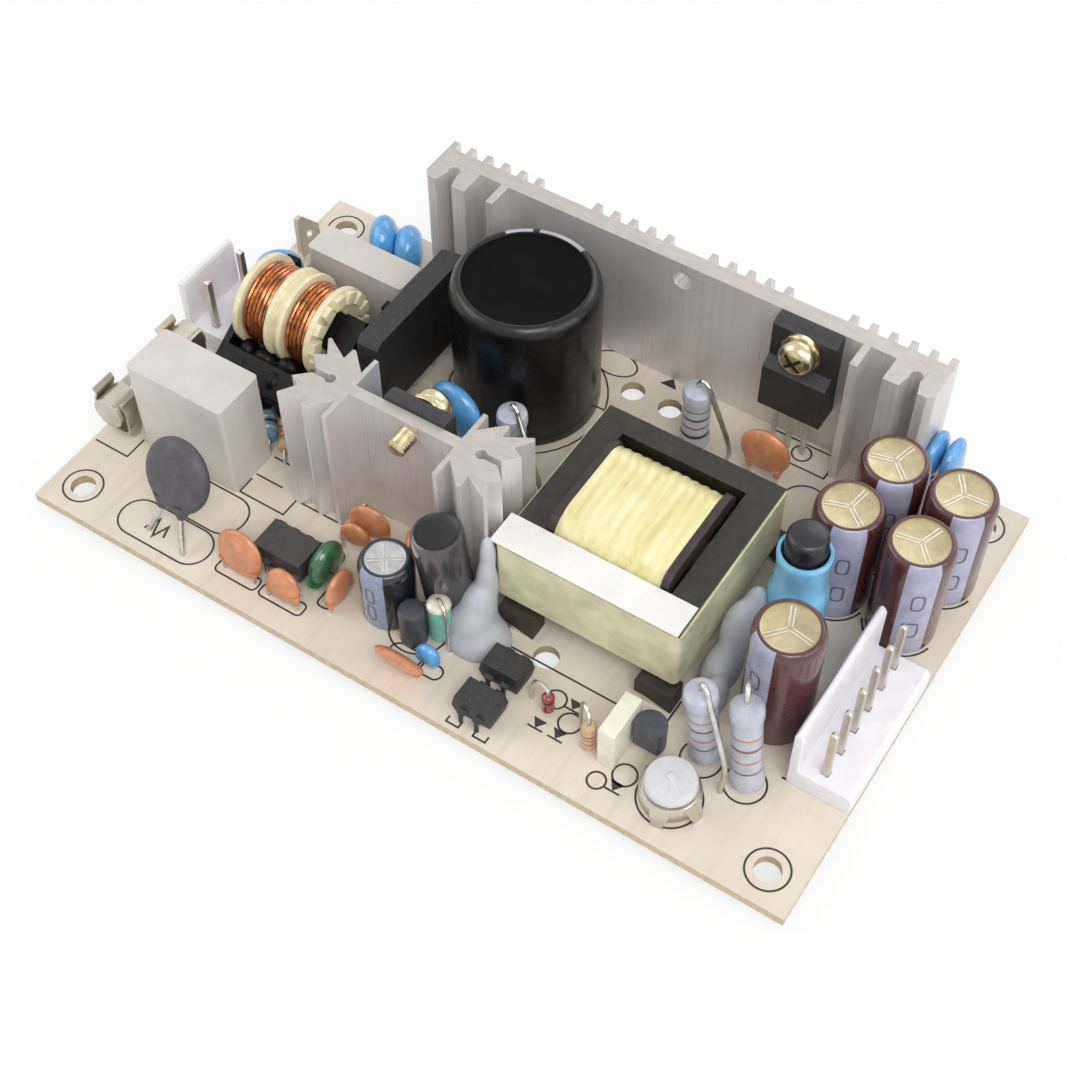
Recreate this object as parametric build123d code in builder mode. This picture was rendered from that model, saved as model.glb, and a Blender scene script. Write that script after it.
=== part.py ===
from build123d import *
import os
from math import cos, hypot, radians, sin

os.makedirs("parts", exist_ok=True)

# An open frame switching power supply: one circuit board and all that stands on it.
# Millimetres, +Z up. The origin is the centre of the four mounting holes, on the board's
# underside. Places on the board are measured from its front left corner and its top face.

# Board
board_length = 127.0
board_width = 76.2
board_thickness = 1.6
hole_inset = 5.08
hole_diameter = 3.8
vent_hole_diameter = 3.8
vent_hole_spots = [(64.8, 66.0), (71.5, 66.0), (80.3, 17.0)]

# Leads and the solder under the board
lead_size = 0.6
pin_size = 1.0
pin_hole_diameter = 1.7
pin_reach = 2.2
solder_radius = 0.85
solder_tip_radius = 0.35
lead_tip_reach = 1.9
lug_thickness = 1.0
lug_width = 2.6
slot_clearance = 0.3

# Rear heatsink, an extrusion standing on its cut end
rear_sink_centre = 68.2
rear_sink_length = 85.6
rear_sink_height = 25.0
rear_sink_front_gap = 4.6
rear_plate_thickness = 2.7
rib_depth = 1.7
rib_thickness = 1.1
rib_pitch = 3.12
inner_rib_start = 3.75
inner_rib_count = 5
outer_rib_start = 26.7
outer_rib_count = 6
boss_width = 7.7
boss_depth = 4.4
boss_slot_radius = 0.95
boss_slot_mouth = 3.0
fin_offset = 30.6
fin_thickness = 1.2
rear_lug_offset = 21.5
spare_screw_hole_offset = 0.8

# Front heatsink, an extrusion with a star of fins at each end
front_sink_centre = 51.4
front_sink_plate_y = 26.1
front_sink_height = 24.6
front_plate_thickness = 1.8
star_offset = 12.7
star_slot_radius = 0.8
star_slot_mouth = 0.9
front_lug_offset = 4.5

# Power transistor packages and their screws
package_width = 10.2
package_height = 15.9
package_thickness = 4.5
package_head_thickness = 2.7
package_head_height = 6.7
package_hole_drop = 3.3
package_hole_diameter = 3.4
package_leg_pitch = 2.54
package_leg_depth = 2.7
output_rectifier_x = 90.4
output_rectifier_top = 24.9
switching_transistor_x = 52.4
switching_transistor_top = 25.3
screw_diameter = 3.0
screw_head_diameter = 5.6
screw_head_height = 2.2
screw_washer_diameter = 6.2
screw_washer_thickness = 1.2
screw_recess_length = 3.2
screw_recess_width = 0.8
screw_recess_depth = 1.2
front_screw_length = 7.6
rear_screw_length = 6.5

# Bulk capacitor
bulk_spot = (51.0, 57.0)
bulk_radius = 11.0
bulk_height = 25.0
bulk_pin_pitch = 10.0

# Transformer
transformer_centre = (84.5, 35.05)
core_length = 28.6
core_width = 29.3
core_height = 11.8
core_bottom = 4.0
core_leg_thickness = 3.7
core_yoke_thickness = 4.3
core_post_radius = 4.95
coil_length = 16.9
coil_width = 19.8
coil_height = 16.6
coil_corner = 5.0
coil_shift = -0.3
coil_clearance = 0.15
flange_thickness = 1.2
flange_width = 18.4
flange_height = 15.6
flange_corner = 2.0
rail_inner = 9.0
rail_width = 4.4
rail_shift = 0.2
rail_length = 33.4
rail_bottom = 1.2
rail_foot_length = 3.2
rail_foot_shift = 1.4
transformer_pin_pitch = 5.0
tape_thickness = 0.3
tape_margin = 0.45
label_length = 29.5
label_width = 5.5
label_thickness = 0.12

# Mains choke
choke_x0 = 6.9
choke_x1 = 30.5
choke_leg = 6.0
choke_column = 3.8
choke_axis = (43.4, 10.6)
choke_front_leg = (33.6, 4.8)
drum_x0 = 10.8
drum_flange_thickness = 1.0
drum_radius = 7.4
drum_length = 14.5
drum_hub_radius = 4.8
winding_radius = 6.6
divider_start = 6.0
divider_width = 3.1
divider_rib = 0.8
gear_tooth_count = 14
choke_base_thickness = 1.8
choke_base_front = 37.4
choke_post_length = 2.4
choke_post_depth = 1.6
choke_post_height = 11.5
choke_base_overhang = 9.2

# Film capacitors: left, front, length, width, height, lead pitch
front_film = (7.8, 16.4, 17.6, 9.0, 17.8, 15.0)
rear_film = (10.9, 54.8, 18.2, 5.8, 12.2, 15.0)
film_corner = 0.7

# Output capacitors
output_can_radius = 5.0
output_can_spots = [(110.2, 59.4), (120.6, 59.0), (108.6, 48.9), (119.3, 48.6), (111.5, 25.9)]
output_can_heights = [19.8, 19.8, 19.8, 19.8, 21.4]
output_can_lead_pitch = 5.0
can_rim = 1.1
can_rim_depth = 0.25
vent_width = 0.35

# Control capacitor
control_can_spot = (57.2, 12.0)
control_can_radius = 4.0
control_can_height = 12.2

# Bridge rectifier
bridge_spot = (35.1, 51.1)
bridge_length = 25.0
bridge_thickness = 3.8
bridge_height = 15.0
bridge_lift = 3.4
bridge_lead_pitch = 5.08
bridge_chamfer = 3.0

# Headers: housing depth, base height, wall thickness and wall height
pin_pitch = 3.96
header_depth = 9.3
header_base_height = 3.6
header_wall_thickness = 1.3
header_wall_height = 12.4
header_pin_height = 13.4
header_end_margin = 2.04
input_header_y = 43.4
input_header_outset = 1.0
input_pin_slots = [-1, 1]
output_header_y = 29.65
output_pin_slots = [-2.5, -1.5, -0.5, 0.5, 1.5, 2.5]
header_pin_depth = 4.5

# Fuse
fuse_x = 3.4
fuse_front = 14.4
fuse_length = 20.0
fuse_radius = 2.6
fuse_glass_radius = 2.3
fuse_cap_length = 4.6
fuse_height = 6.3
clip_thickness = 0.4
clip_width = 4.0
clip_clearance = 0.05

# Thermistor
thermistor_leads = [(18.5, 6.0), (25.5, 4.3)]
thermistor_radius = 6.6
thermistor_thickness = 4.4
thermistor_rise = 11.2
thermistor_lean = 18.0

# Earth tab
tab_x = 2.6
tab_y = 61.4
tab_width = 5.0
tab_height = 8.6
tab_thickness = 0.8
tab_foot = 2.6
tab_hole_diameter = 1.6

# Inductors
dark_inductor_spot = (64.1, 16.0)
dark_inductor_radius = 3.7
dark_inductor_height = 17.6
sleeved_spot = (106.95, 39.1)
sleeved_core_radius = 3.2
sleeve_radius = 3.7
sleeve_bulge_radius = 4.4
sleeve_bulge_height = 11.0
sleeve_height = 19.6
sleeved_height = 22.4

# Disc capacitors: two lead spots, disc radius, thickness, disc centre height, lean in degrees
blue_discs = {
    "input": [
        ((14.5, 70.2), (17.0, 65.8), 4.1, 4.0, 6.6, 0.0),
        ((19.3, 70.5), (21.8, 66.1), 4.1, 4.0, 6.6, 0.0),
        ((4.4, 51.2), (7.8, 54.4), 4.0, 3.6, 6.2, 0.0),
        ((46.6, 40.7), (52.5, 39.7), 4.9, 3.8, 11.0, 0.0),
    ],
    "output": [
        ((113.3, 74.4), (113.3, 70.0), 3.5, 2.3, 9.4, 0.0),
        ((115.9, 74.4), (115.9, 70.0), 3.5, 2.3, 9.4, 0.0),
    ],
}
orange_discs = [
    ((32.6, 4.9), (38.0, 4.9), 4.0, 2.2, 4.4, 12.0),
    ((41.0, 4.5), (46.0, 4.5), 2.8, 2.0, 3.4, 12.0),
    ((50.4, 6.8), (50.4, 11.6), 2.9, 1.9, 3.2, 0.0),
    ((44.9, 17.2), (49.2, 17.9), 2.3, 1.7, 4.0, 0.0),
    ((45.8, 19.3), (50.7, 20.2), 3.3, 1.8, 5.4, 0.0),
    ((88.0, 61.0), (92.6, 61.0), 4.1, 2.4, 7.0, 0.0),
]
green_film = ((46.4, 9.2), (46.4, 14.0), 3.2, 3.2, 4.4, 0.0)

# Power resistors on end, one lead looped down beside: foot, loop foot, top's lean, body length
power_resistors = [
    ((106.3, 16.5), (111.3, 11.5), (-1.6, -1.6), 15.0),
    ((113.2, 15.2), (117.4, 12.0), (-2.6, 2.0), 15.0),
    ((78.2, 61.6), (84.5, 60.4), (0.0, 0.0), 12.0),
    ((57.6, 43.0), (65.2, 38.6), (0.0, 0.0), 12.0),
]
resistor_radius = 2.35
resistor_lift = 1.0
resistor_cap_length = 2.6
resistor_waist = 0.25
resistor_edge = 0.5
loop_wire = 0.8
loop_rise = 2.2
loop_drop = 3.4

# Small transistor-outline and block parts
opto_spots = [(77.6, 11.2), (77.6, 4.6)]
opto_length = 6.4
opto_width = 4.5
opto_height = 3.5
opto_lift = 0.7
control_ic_spot = (40.0, 10.8)
control_ic_length = 8.8
control_ic_width = 6.0
control_ic_height = 3.6
control_ic_lift = 0.9
box_capacitor = (95.0, 6.6, 2.6, 7.2, 8.4)
small_black_cylinder = (62.9, 9.7, 2.0, 7.2)
to92_spots = [(100.0, 11.9)]

# Trimmer
trimmer_spot = (105.9, 7.4)
trimmer_body_size = 7.0
trimmer_body_height = 3.0
trimmer_rotor_radius = 3.3
trimmer_rotor_height = 1.6
trimmer_running_gap = 0.15
trimmer_shaft_radius = 1.65
trimmer_shaft_depth = 1.2
trimmer_shaft_clearance = 0.08
trimmer_edge = 0.4
trimmer_slot_turn = 30.0
trimmer_slot_width = 0.8
trimmer_slot_length = 5.0
trimmer_slot_depth = 0.7

# Axial parts lying on the board: two ends, body radius, body length
lying_diodes = [
    ((81.6, 9.4), (89.4, 9.8), 0.95, 4.0),
    ((81.6, 5.0), (89.4, 5.0), 0.95, 4.0),
    ((27.2, 20.6), (27.2, 30.6), 1.3, 5.2),
]
lying_resistors = [
    ((29.8, 20.6), (29.8, 30.6), 1.2, 6.2),
    ((90.6, 4.0), (98.6, 4.0), 0.9, 3.4),
    ((72.4, 18.0), (72.4, 8.6), 0.9, 3.4),
]

# Adhesive
foot_adhesive = (69.55, 15.0, 1.6, 4.2, 5.0)
core_adhesive = (102.8, 28.4, 3.2, 7.0, 6.0)
mound_shoulder = 0.8
mound_crown = 0.45


def at(x, y, z=0.0):
    """A place on the board, as a point in the part's own frame."""
    return Vector(x - board_length / 2, y - board_width / 2, board_thickness + z)


def level(x, y, z=0.0, turn=0.0):
    """A level plane over a place on the board, with its x axis turned about Z."""
    return Plane(origin=at(x, y, z), x_dir=(cos(radians(turn)), sin(radians(turn)), 0), z_dir=(0, 0, 1))


def standing(x, y, z=0.0, along=(1.0, 0.0), lean=0.0):
    """A plane that stands on the board with its x axis along a direction, leaning back by some degrees."""
    size = hypot(along[0], along[1])
    across = Vector(along[0] / size, along[1] / size, 0)
    back = Vector(-across.Y, across.X, 0)
    rise = back * sin(radians(lean)) + Vector(0, 0, cos(radians(lean)))
    return Plane(origin=at(x, y, z), x_dir=across, z_dir=across.cross(rise))


def block(x0, y0, z0, x1, y1, z1, mode=Mode.ADD):
    """A rectangular block between two corners given as places on the board."""
    with Locations(at((x0 + x1) / 2, (y0 + y1) / 2, (z0 + z1) / 2)):
        Box(x1 - x0, y1 - y0, z1 - z0, mode=mode)


def post(x, y, z0, z1, size=lead_size):
    """A square lead between two heights."""
    block(x - size / 2, y - size / 2, z0, x + size / 2, y + size / 2, z1)


def wire_outline(points, width):
    """The closed outline of a flat wire of a given width along a bent path."""
    path = [Vector(*point) for point in points]
    runs = [(b - a).normalized() for a, b in zip(path, path[1:])]
    left, right = [], []
    for i, point in enumerate(path):
        before, after = runs[max(i - 1, 0)], runs[min(i, len(runs) - 1)]
        middle = (before + after).normalized()
        side = Vector(-middle.Y, middle.X) * (width / 2 / middle.dot(after))
        left.append(tuple(point + side)[:2])
        right.append(tuple(point - side)[:2])
    return left + right[::-1]


def keep(piece, name):
    """Label a finished piece and write it to its own file."""
    piece.part.label = name
    export_step(piece.part, f"parts/{name}.step")


# Where leads end on the board's top face, and where heavier pins and lugs pass through it
leads = []
pins = []
lugs = []
board_top = Plane(origin=(0, 0, board_thickness))

input_wall_x = -input_header_outset
output_wall_x = board_length - header_depth
input_pin_x = input_wall_x + header_pin_depth
output_pin_x = output_wall_x + header_pin_depth
input_pins = [(input_pin_x, input_header_y + slot * pin_pitch) for slot in input_pin_slots]
output_pins = [(output_pin_x, output_header_y + slot * pin_pitch) for slot in output_pin_slots]
bulk_pins = [(bulk_spot[0] + side * bulk_pin_pitch / 2, bulk_spot[1]) for side in (-1, 1)]
rail_centre = rail_inner + rail_width / 2
transformer_pins = [
    (transformer_centre[0] + rail_shift + side * rail_centre, transformer_centre[1] + step * transformer_pin_pitch)
    for side in (-1, 1)
    for step in (-2, -1, 1, 2)
]
pins += input_pins + output_pins
leads += bulk_pins + transformer_pins

rear_face_y = board_width - rear_sink_front_gap
rear_lug_y = rear_face_y + rear_plate_thickness / 2
lugs += [(rear_sink_centre + side * rear_lug_offset, rear_lug_y) for side in (-1, 1)]
lugs += [(front_sink_centre + side * front_lug_offset, front_sink_plate_y) for side in (-1, 1)]


# Rear heatsink
with BuildPart() as rear_heatsink:
    with BuildSketch(level(rear_sink_centre, rear_face_y)):
        with Locations((0, rear_plate_thickness / 2)):
            Rectangle(rear_sink_length, rear_plate_thickness)
        inner_ribs = [inner_rib_start + rib_pitch * i for i in range(inner_rib_count)]
        outer_ribs = [outer_rib_start + rib_pitch * i for i in range(outer_rib_count)]
        outer_ribs[-1] = (rear_sink_length - rib_thickness) / 2
        for rib_x in inner_ribs + outer_ribs:
            with Locations(*[(side * rib_x, rear_plate_thickness + rib_depth / 2) for side in (-1, 1)]):
                Rectangle(rib_thickness, rib_depth)
        for side in (-1, 1):
            edge = side * rear_sink_length / 2
            inner = side * (rear_sink_length / 2 - boss_width)
            corner = side * (rear_sink_length / 2 - 1.0)
            with BuildLine():
                Polyline(
                    (edge, 0), (edge, 1.0 - boss_depth), (corner, -boss_depth),
                    (inner, -boss_depth), (inner, 0), close=True,
                )
            make_face()
            with Locations((side * fin_offset, -boss_depth / 2)):
                Rectangle(fin_thickness, boss_depth)
            slot_x = side * (rear_sink_length / 2 - boss_width / 2)
            with Locations((slot_x, -boss_depth / 3)):
                Circle(boss_slot_radius, mode=Mode.SUBTRACT)
            with BuildLine():
                Polyline(
                    (slot_x - boss_slot_radius * 0.7, -boss_depth / 3),
                    (slot_x - boss_slot_mouth / 2, -boss_depth - 0.1),
                    (slot_x + boss_slot_mouth / 2, -boss_depth - 0.1),
                    (slot_x + boss_slot_radius * 0.7, -boss_depth / 3), close=True,
                )
            make_face(mode=Mode.SUBTRACT)
    extrude(amount=rear_sink_height)
    screw_z = output_rectifier_top - package_hole_drop
    for hole_x in (output_rectifier_x, rear_sink_centre + spare_screw_hole_offset):
        with BuildSketch(standing(hole_x, rear_face_y, screw_z)):
            Circle(screw_diameter / 2)
        extrude(amount=-rear_plate_thickness - rib_depth, mode=Mode.SUBTRACT)
    for x, y in lugs[:2]:
        block(x - lug_width / 2, y - lug_thickness / 2, -board_thickness - pin_reach,
              x + lug_width / 2, y + lug_thickness / 2, 0)
keep(rear_heatsink, "rear_heatsink")


# Front heatsink
star_half = [
    (-3.8, 0.9), (-3.8, 6.2), (-3.1, 6.2), (-3.0, 3.2), (0.1, 6.2), (0.6, 6.1),
    (0.7, 4.1), (4.5, 6.3), (4.8, 5.9), (3.1, 3.4), (4.9, 2.4), (2.9, 0.5),
]


def star_sketch(side):
    """Half outline of a star of fins, mirrored about the plate, with its screw slot."""
    half = [(side * (star_offset + u), v) for u, v in star_half]
    whole = half + [(u, -v) for u, v in reversed(half)]
    with BuildLine() as outline:
        Polyline(*whole, close=True)
    make_face(outline.edges())


def star_slot(side):
    """The round screw slot of a star and its mouth."""
    with Locations((side * star_offset, 0)):
        Circle(star_slot_radius, mode=Mode.SUBTRACT)
    with Locations((side * (star_offset + 2.5), 0)):
        Rectangle(5.0, star_slot_mouth, mode=Mode.SUBTRACT)


with BuildPart() as front_heatsink:
    with BuildSketch(level(front_sink_centre, front_sink_plate_y)) as front_profile:
        Rectangle(2 * star_offset, front_plate_thickness)
        for side in (-1, 1):
            star_sketch(side)
            star_slot(side)
    extrude(amount=front_sink_height)
    front_screw_z = switching_transistor_top - package_hole_drop
    with BuildSketch(standing(switching_transistor_x, front_sink_plate_y, front_screw_z)):
        Circle(screw_diameter / 2)
    extrude(amount=front_plate_thickness, both=True, mode=Mode.SUBTRACT)
    for x, y in lugs[2:]:
        block(x - lug_width / 2, y - lug_thickness / 2, -board_thickness - pin_reach,
              x + lug_width / 2, y + lug_thickness / 2, 0)
keep(front_heatsink, "front_heatsink")


# Power transistors, moulded with a thinner head that the screw holds
def power_package(x, face_y, top, faces):
    """A moulded package against a heatsink's face; faces is -1 towards the front, 1 towards the rear."""
    with BuildPart() as package:
        body = Plane(origin=at(x, face_y), x_dir=(0, faces, 0), z_dir=(faces, 0, 0))
        with BuildSketch(body.offset(-package_width / 2)):
            bottom = top - package_height
            step = top - package_head_height
            with BuildLine():
                Polyline(
                    (0, bottom), (package_thickness, bottom), (package_thickness, step - 1.2),
                    (package_head_thickness, step), (package_head_thickness, top - 0.6),
                    (package_head_thickness - 1.0, top), (0, top), close=True,
                )
            make_face()
        extrude(amount=package_width)
        with BuildSketch(standing(x, face_y, top - package_hole_drop)):
            Circle(package_hole_diameter / 2)
        extrude(amount=package_thickness, both=True, mode=Mode.SUBTRACT)
        leg_y = face_y + faces * package_leg_depth
        for step in (-1, 0, 1):
            leg_x = x + step * package_leg_pitch
            block(leg_x - 0.4, leg_y - 0.25, 0, leg_x + 0.4, leg_y + 0.25, bottom)
            leads.append((leg_x, leg_y))
    return package


output_rectifier = power_package(output_rectifier_x, rear_face_y, output_rectifier_top, -1)
keep(output_rectifier, "output_rectifier")
front_rear_face = front_sink_plate_y + front_plate_thickness / 2
switching_transistor = power_package(switching_transistor_x, front_rear_face, switching_transistor_top, 1)
keep(switching_transistor, "switching_transistor")


def package_screw(x, seat_y, z, faces, length):
    """A pan head screw with a cross recess and a washer; its head lies towards faces."""
    with BuildPart() as screw:
        axis_plane = Plane(origin=at(x, seat_y, z), x_dir=(1, 0, 0), z_dir=(0, faces, 0))
        with BuildSketch(axis_plane):
            Circle(screw_washer_diameter / 2)
        extrude(amount=screw_washer_thickness)
        with BuildSketch(axis_plane.offset(screw_washer_thickness)):
            Circle(screw_head_diameter / 2)
        extrude(amount=screw_head_height, taper=10)
        with BuildSketch(axis_plane):
            Circle(screw_diameter / 2 - 0.05)
        extrude(amount=-length)
        with BuildSketch(axis_plane.offset(screw_washer_thickness + screw_head_height)):
            Rectangle(screw_recess_length, screw_recess_width)
            Rectangle(screw_recess_width, screw_recess_length)
        extrude(amount=-screw_recess_depth, mode=Mode.SUBTRACT)
    return screw


rear_screw = package_screw(output_rectifier_x, rear_face_y - package_head_thickness, screw_z, -1, rear_screw_length)
keep(rear_screw, "rear_heatsink_screw")
front_screw = package_screw(
    switching_transistor_x, front_rear_face + package_head_thickness, front_screw_z, 1, front_screw_length
)
keep(front_screw, "front_heatsink_screw")


# Bulk capacitor
def revolved_can(x, y, outline):
    """A solid turned about the vertical through a place; the outline holds (radius, height) points."""
    with BuildSketch(standing(x, y)) as section:
        with BuildLine():
            Polyline(*outline, close=True)
        make_face()
    revolve(section.sketch, axis=Axis(at(x, y), (0, 0, 1)))


with BuildPart() as bulk_capacitor:
    r, h = bulk_radius, bulk_height
    revolved_can(*bulk_spot, [
        (0, 0), (r, 0), (r, h - 2.2), (r - 0.7, h - 0.7), (r - 2.2, h), (r - 3.0, h), (r - 3.2, h - 0.4),
        (0, h - 0.4),
    ])
keep(bulk_capacitor, "bulk_capacitor")


# Transformer
tx, ty = transformer_centre
core_axis_z = core_bottom + core_height / 2
for side, name in ((-1, "transformer_core_left"), (1, "transformer_core_right")):
    with BuildPart() as core_half:
        with BuildSketch(level(tx, ty, core_bottom)):
            with Locations((side * core_length / 4, 0)):
                Rectangle(core_length / 2, core_width)
            with Locations((side * (core_length / 4 - core_yoke_thickness / 2), 0)):
                Rectangle(core_length / 2 - core_yoke_thickness, core_width - 2 * core_leg_thickness,
                          mode=Mode.SUBTRACT)
        extrude(amount=core_height)
        with BuildSketch(Plane(origin=at(tx, ty, core_axis_z), x_dir=(0, 1, 0), z_dir=(side, 0, 0))):
            Circle(core_post_radius)
        extrude(amount=core_length / 2 - core_yoke_thickness / 2)
    keep(core_half, name)

coil_plane = Plane(origin=at(tx + coil_shift, ty, core_axis_z), x_dir=(0, 1, 0), z_dir=(1, 0, 0))
coil_bore = core_post_radius + 1.0
with BuildPart() as transformer_winding:
    with BuildSketch(coil_plane):
        RectangleRounded(coil_width, coil_height, coil_corner)
        Circle(coil_bore, mode=Mode.SUBTRACT)
    extrude(amount=coil_length / 2, both=True)
keep(transformer_winding, "transformer_winding")

rail_top = core_bottom - coil_clearance
with BuildPart() as transformer_bobbin:
    with BuildSketch(coil_plane):
        Circle(coil_bore)
        Circle(core_post_radius + coil_clearance, mode=Mode.SUBTRACT)
    extrude(amount=coil_length / 2, both=True)
    for side in (-1, 1):
        with BuildSketch(coil_plane.offset(side * coil_length / 2)):
            RectangleRounded(flange_width, flange_height, flange_corner)
            Circle(core_post_radius + coil_clearance, mode=Mode.SUBTRACT)
        extrude(amount=side * flange_thickness)
    for side in (-1, 1):
        x0, x1 = sorted((tx + rail_shift + side * rail_inner, tx + rail_shift + side * (rail_inner + rail_width)))
        block(x0, ty - rail_length / 2, rail_bottom, x1, ty + rail_length / 2, rail_top)
        for end in (-1, 1):
            y0, y1 = sorted((ty + end * rail_length / 2, ty + end * (rail_length / 2 - rail_foot_length)))
            block(x0 + rail_foot_shift, y0, 0, x1 + rail_foot_shift, y1, rail_top)
        flange_x = tx + coil_shift + side * (coil_length / 2 + flange_thickness / 2)
        block(flange_x - flange_thickness / 2, ty - flange_width / 2, rail_bottom,
              flange_x + flange_thickness / 2, ty + flange_width / 2, core_axis_z - coil_bore)
    for x, y in transformer_pins:
        post(x, y, 0, rail_bottom, pin_size)
keep(transformer_bobbin, "transformer_bobbin")

with BuildPart() as transformer_tape:
    with BuildSketch(level(tx, ty, core_bottom + tape_margin)):
        RectangleRounded(core_length + 2 * tape_thickness, core_width + 2 * tape_thickness, 0.9)
        Rectangle(core_length, core_width, mode=Mode.SUBTRACT)
    extrude(amount=core_height - 2 * tape_margin)
keep(transformer_tape, "transformer_tape")

core_top = core_bottom + core_height
with BuildPart() as transformer_label:
    label_y = ty - core_width / 2 - tape_thickness
    block(tx - label_length / 2 - 0.6, label_y, core_top,
          tx + label_length / 2 - 0.6, label_y + label_width, core_top + label_thickness)
keep(transformer_label, "transformer_label")


# Mains choke: a closed ring core, tilted, with the windings on its upper leg
choke_tilt = Vector(0, choke_axis[0] - choke_front_leg[0], choke_axis[1] - choke_front_leg[1])
choke_plane = Plane(
    origin=at((choke_x0 + choke_x1) / 2, (choke_axis[0] + choke_front_leg[0]) / 2,
              (choke_axis[1] + choke_front_leg[1]) / 2),
    x_dir=(1, 0, 0), z_dir=Vector(1, 0, 0).cross(choke_tilt),
)
choke_span = choke_tilt.length
with BuildPart() as choke_core:
    with BuildSketch(choke_plane):
        RectangleRounded(choke_x1 - choke_x0, choke_span + choke_leg, 1.0)
        Rectangle(choke_x1 - choke_x0 - 2 * choke_column, choke_span - choke_leg, mode=Mode.SUBTRACT)
    extrude(amount=choke_leg / 2, both=True)
keep(choke_core, "choke_core")

hub_clearance = 0.1
leg_turn = choke_plane.y_dir


def drum_plane(x):
    """The plane across the choke's drum at a distance from its left end."""
    return Plane(origin=at(drum_x0 + x, choke_axis[0], choke_axis[1]), x_dir=leg_turn, z_dir=(1, 0, 0))


def drum_disc(start, width, radius):
    """A disc of the drum, before its bore is cut."""
    with BuildSketch(drum_plane(start)) as disc:
        Circle(radius)
    extrude(disc.sketch, amount=width)


with BuildPart() as choke_bobbin:
    drum_disc(0, drum_length, drum_hub_radius)
    drum_disc(0, drum_flange_thickness, drum_radius)
    drum_disc(divider_start, divider_rib, drum_radius)
    drum_disc(divider_start, divider_width, winding_radius)
    drum_disc(divider_start + divider_width - divider_rib, divider_rib, drum_radius)
    drum_disc(drum_length - drum_flange_thickness, drum_flange_thickness, drum_radius)
    with BuildSketch(drum_plane(drum_length)):
        with PolarLocations(drum_radius - 1.3, gear_tooth_count):
            Rectangle(2.0, 1.9)
    extrude(amount=0.9)
    with BuildSketch(drum_plane(-0.5)):
        Rectangle(choke_leg + 2 * hub_clearance, choke_leg + 2 * hub_clearance)
    extrude(amount=drum_length + 2.0, mode=Mode.SUBTRACT)
keep(choke_bobbin, "choke_bobbin")

second_start = divider_start + divider_width
windings = [
    ("choke_winding_1", drum_flange_thickness, divider_start),
    ("choke_winding_2", second_start, drum_length - drum_flange_thickness),
]
for name, start, stop in windings:
    with BuildPart() as choke_winding:
        with BuildSketch(drum_plane(start)):
            Circle(winding_radius)
            Circle(drum_hub_radius, mode=Mode.SUBTRACT)
        extrude(amount=stop - start)
    keep(choke_winding, name)

with BuildPart() as choke_base:
    base_back = choke_axis[0] + choke_base_overhang
    block(choke_x0 + 2.0, choke_base_front, 0, choke_x1, base_back, choke_base_thickness)
    for x0 in (choke_x0 + 2.0, choke_x1 - choke_post_length):
        block(x0, base_back - choke_post_depth, choke_base_thickness, x0 + choke_post_length, base_back,
              choke_post_height)
keep(choke_base, "choke_base")
leads += [(x, y) for x in (choke_x0 + 4.0, choke_x1 - 4.0) for y in (choke_base_front + 1.2, base_back - 1.2)]


# Film capacitors: a moulded box with rounded upright edges
def film_capacitor(left, front, length, width, height, pitch):
    """A box capacitor on its two leads."""
    with BuildPart() as box:
        x, y = left + length / 2, front + width / 2
        with BuildSketch(level(x, y)):
            RectangleRounded(length, width, film_corner)
        extrude(amount=height)
        leads.extend([(x - pitch / 2, y), (x + pitch / 2, y)])
    return box


keep(film_capacitor(*front_film), "front_film_capacitor")
keep(film_capacitor(*rear_film), "rear_film_capacitor")


# Output capacitors: a sleeved can, its top ringed by the sleeve and scored with a vent
def output_can(x, y, h):
    """One electrolytic can of a given height."""
    r = output_can_radius
    with BuildPart() as can:
        revolved_can(x, y, [
            (0, 0), (r, 0), (r, h - 0.5), (r - 0.5, h), (r - can_rim, h),
            (r - can_rim, h - can_rim_depth), (0, h - can_rim_depth),
        ])
        with BuildSketch(level(x, y, h - can_rim_depth, turn=100)):
            with PolarLocations((r - can_rim) / 2 - 0.1, 3):
                Rectangle(r - can_rim - 0.6, vent_width)
        extrude(amount=-0.2, mode=Mode.SUBTRACT)
        leads.extend([(x, y - output_can_lead_pitch / 2), (x, y + output_can_lead_pitch / 2)])
    return can


for number, (spot, height) in enumerate(zip(output_can_spots, output_can_heights), start=1):
    keep(output_can(*spot, height), f"output_capacitor_{number}")

with BuildPart() as control_capacitor:
    x, y = control_can_spot
    r, h = control_can_radius, control_can_height
    revolved_can(x, y, [
        (0, 0), (r, 0), (r, h - 0.5), (r - 0.5, h), (r - can_rim, h),
        (r - can_rim, h - can_rim_depth), (0, h - can_rim_depth),
    ])
    with BuildSketch(level(x, y, h - can_rim_depth, turn=35)):
        Rectangle(2 * (r - can_rim) - 0.8, vent_width)
        Rectangle(vent_width, 2 * (r - can_rim) - 0.8)
    extrude(amount=-0.2, mode=Mode.SUBTRACT)
    leads += [(x - 1.75, y), (x + 1.75, y)]
keep(control_capacitor, "control_capacitor")


# Bridge rectifier
with BuildPart() as bridge_rectifier:
    x, y = bridge_spot
    half = bridge_length / 2
    top = bridge_lift + bridge_height
    with BuildSketch(Plane(origin=at(x - bridge_thickness / 2, y), x_dir=(0, 1, 0), z_dir=(1, 0, 0))):
        with BuildLine():
            Polyline(
                (-half, bridge_lift), (half, bridge_lift), (half, top - bridge_chamfer),
                (half - bridge_chamfer, top), (-half + 1.0, top), (-half, top - 1.0), close=True,
            )
        make_face()
    extrude(amount=bridge_thickness)
    for step in (-1.5, -0.5, 0.5, 1.5):
        lead_y = y + step * bridge_lead_pitch
        post(x, lead_y, 0, bridge_lift, 0.9)
        leads.append((x, lead_y))
keep(bridge_rectifier, "bridge_rectifier")


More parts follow.
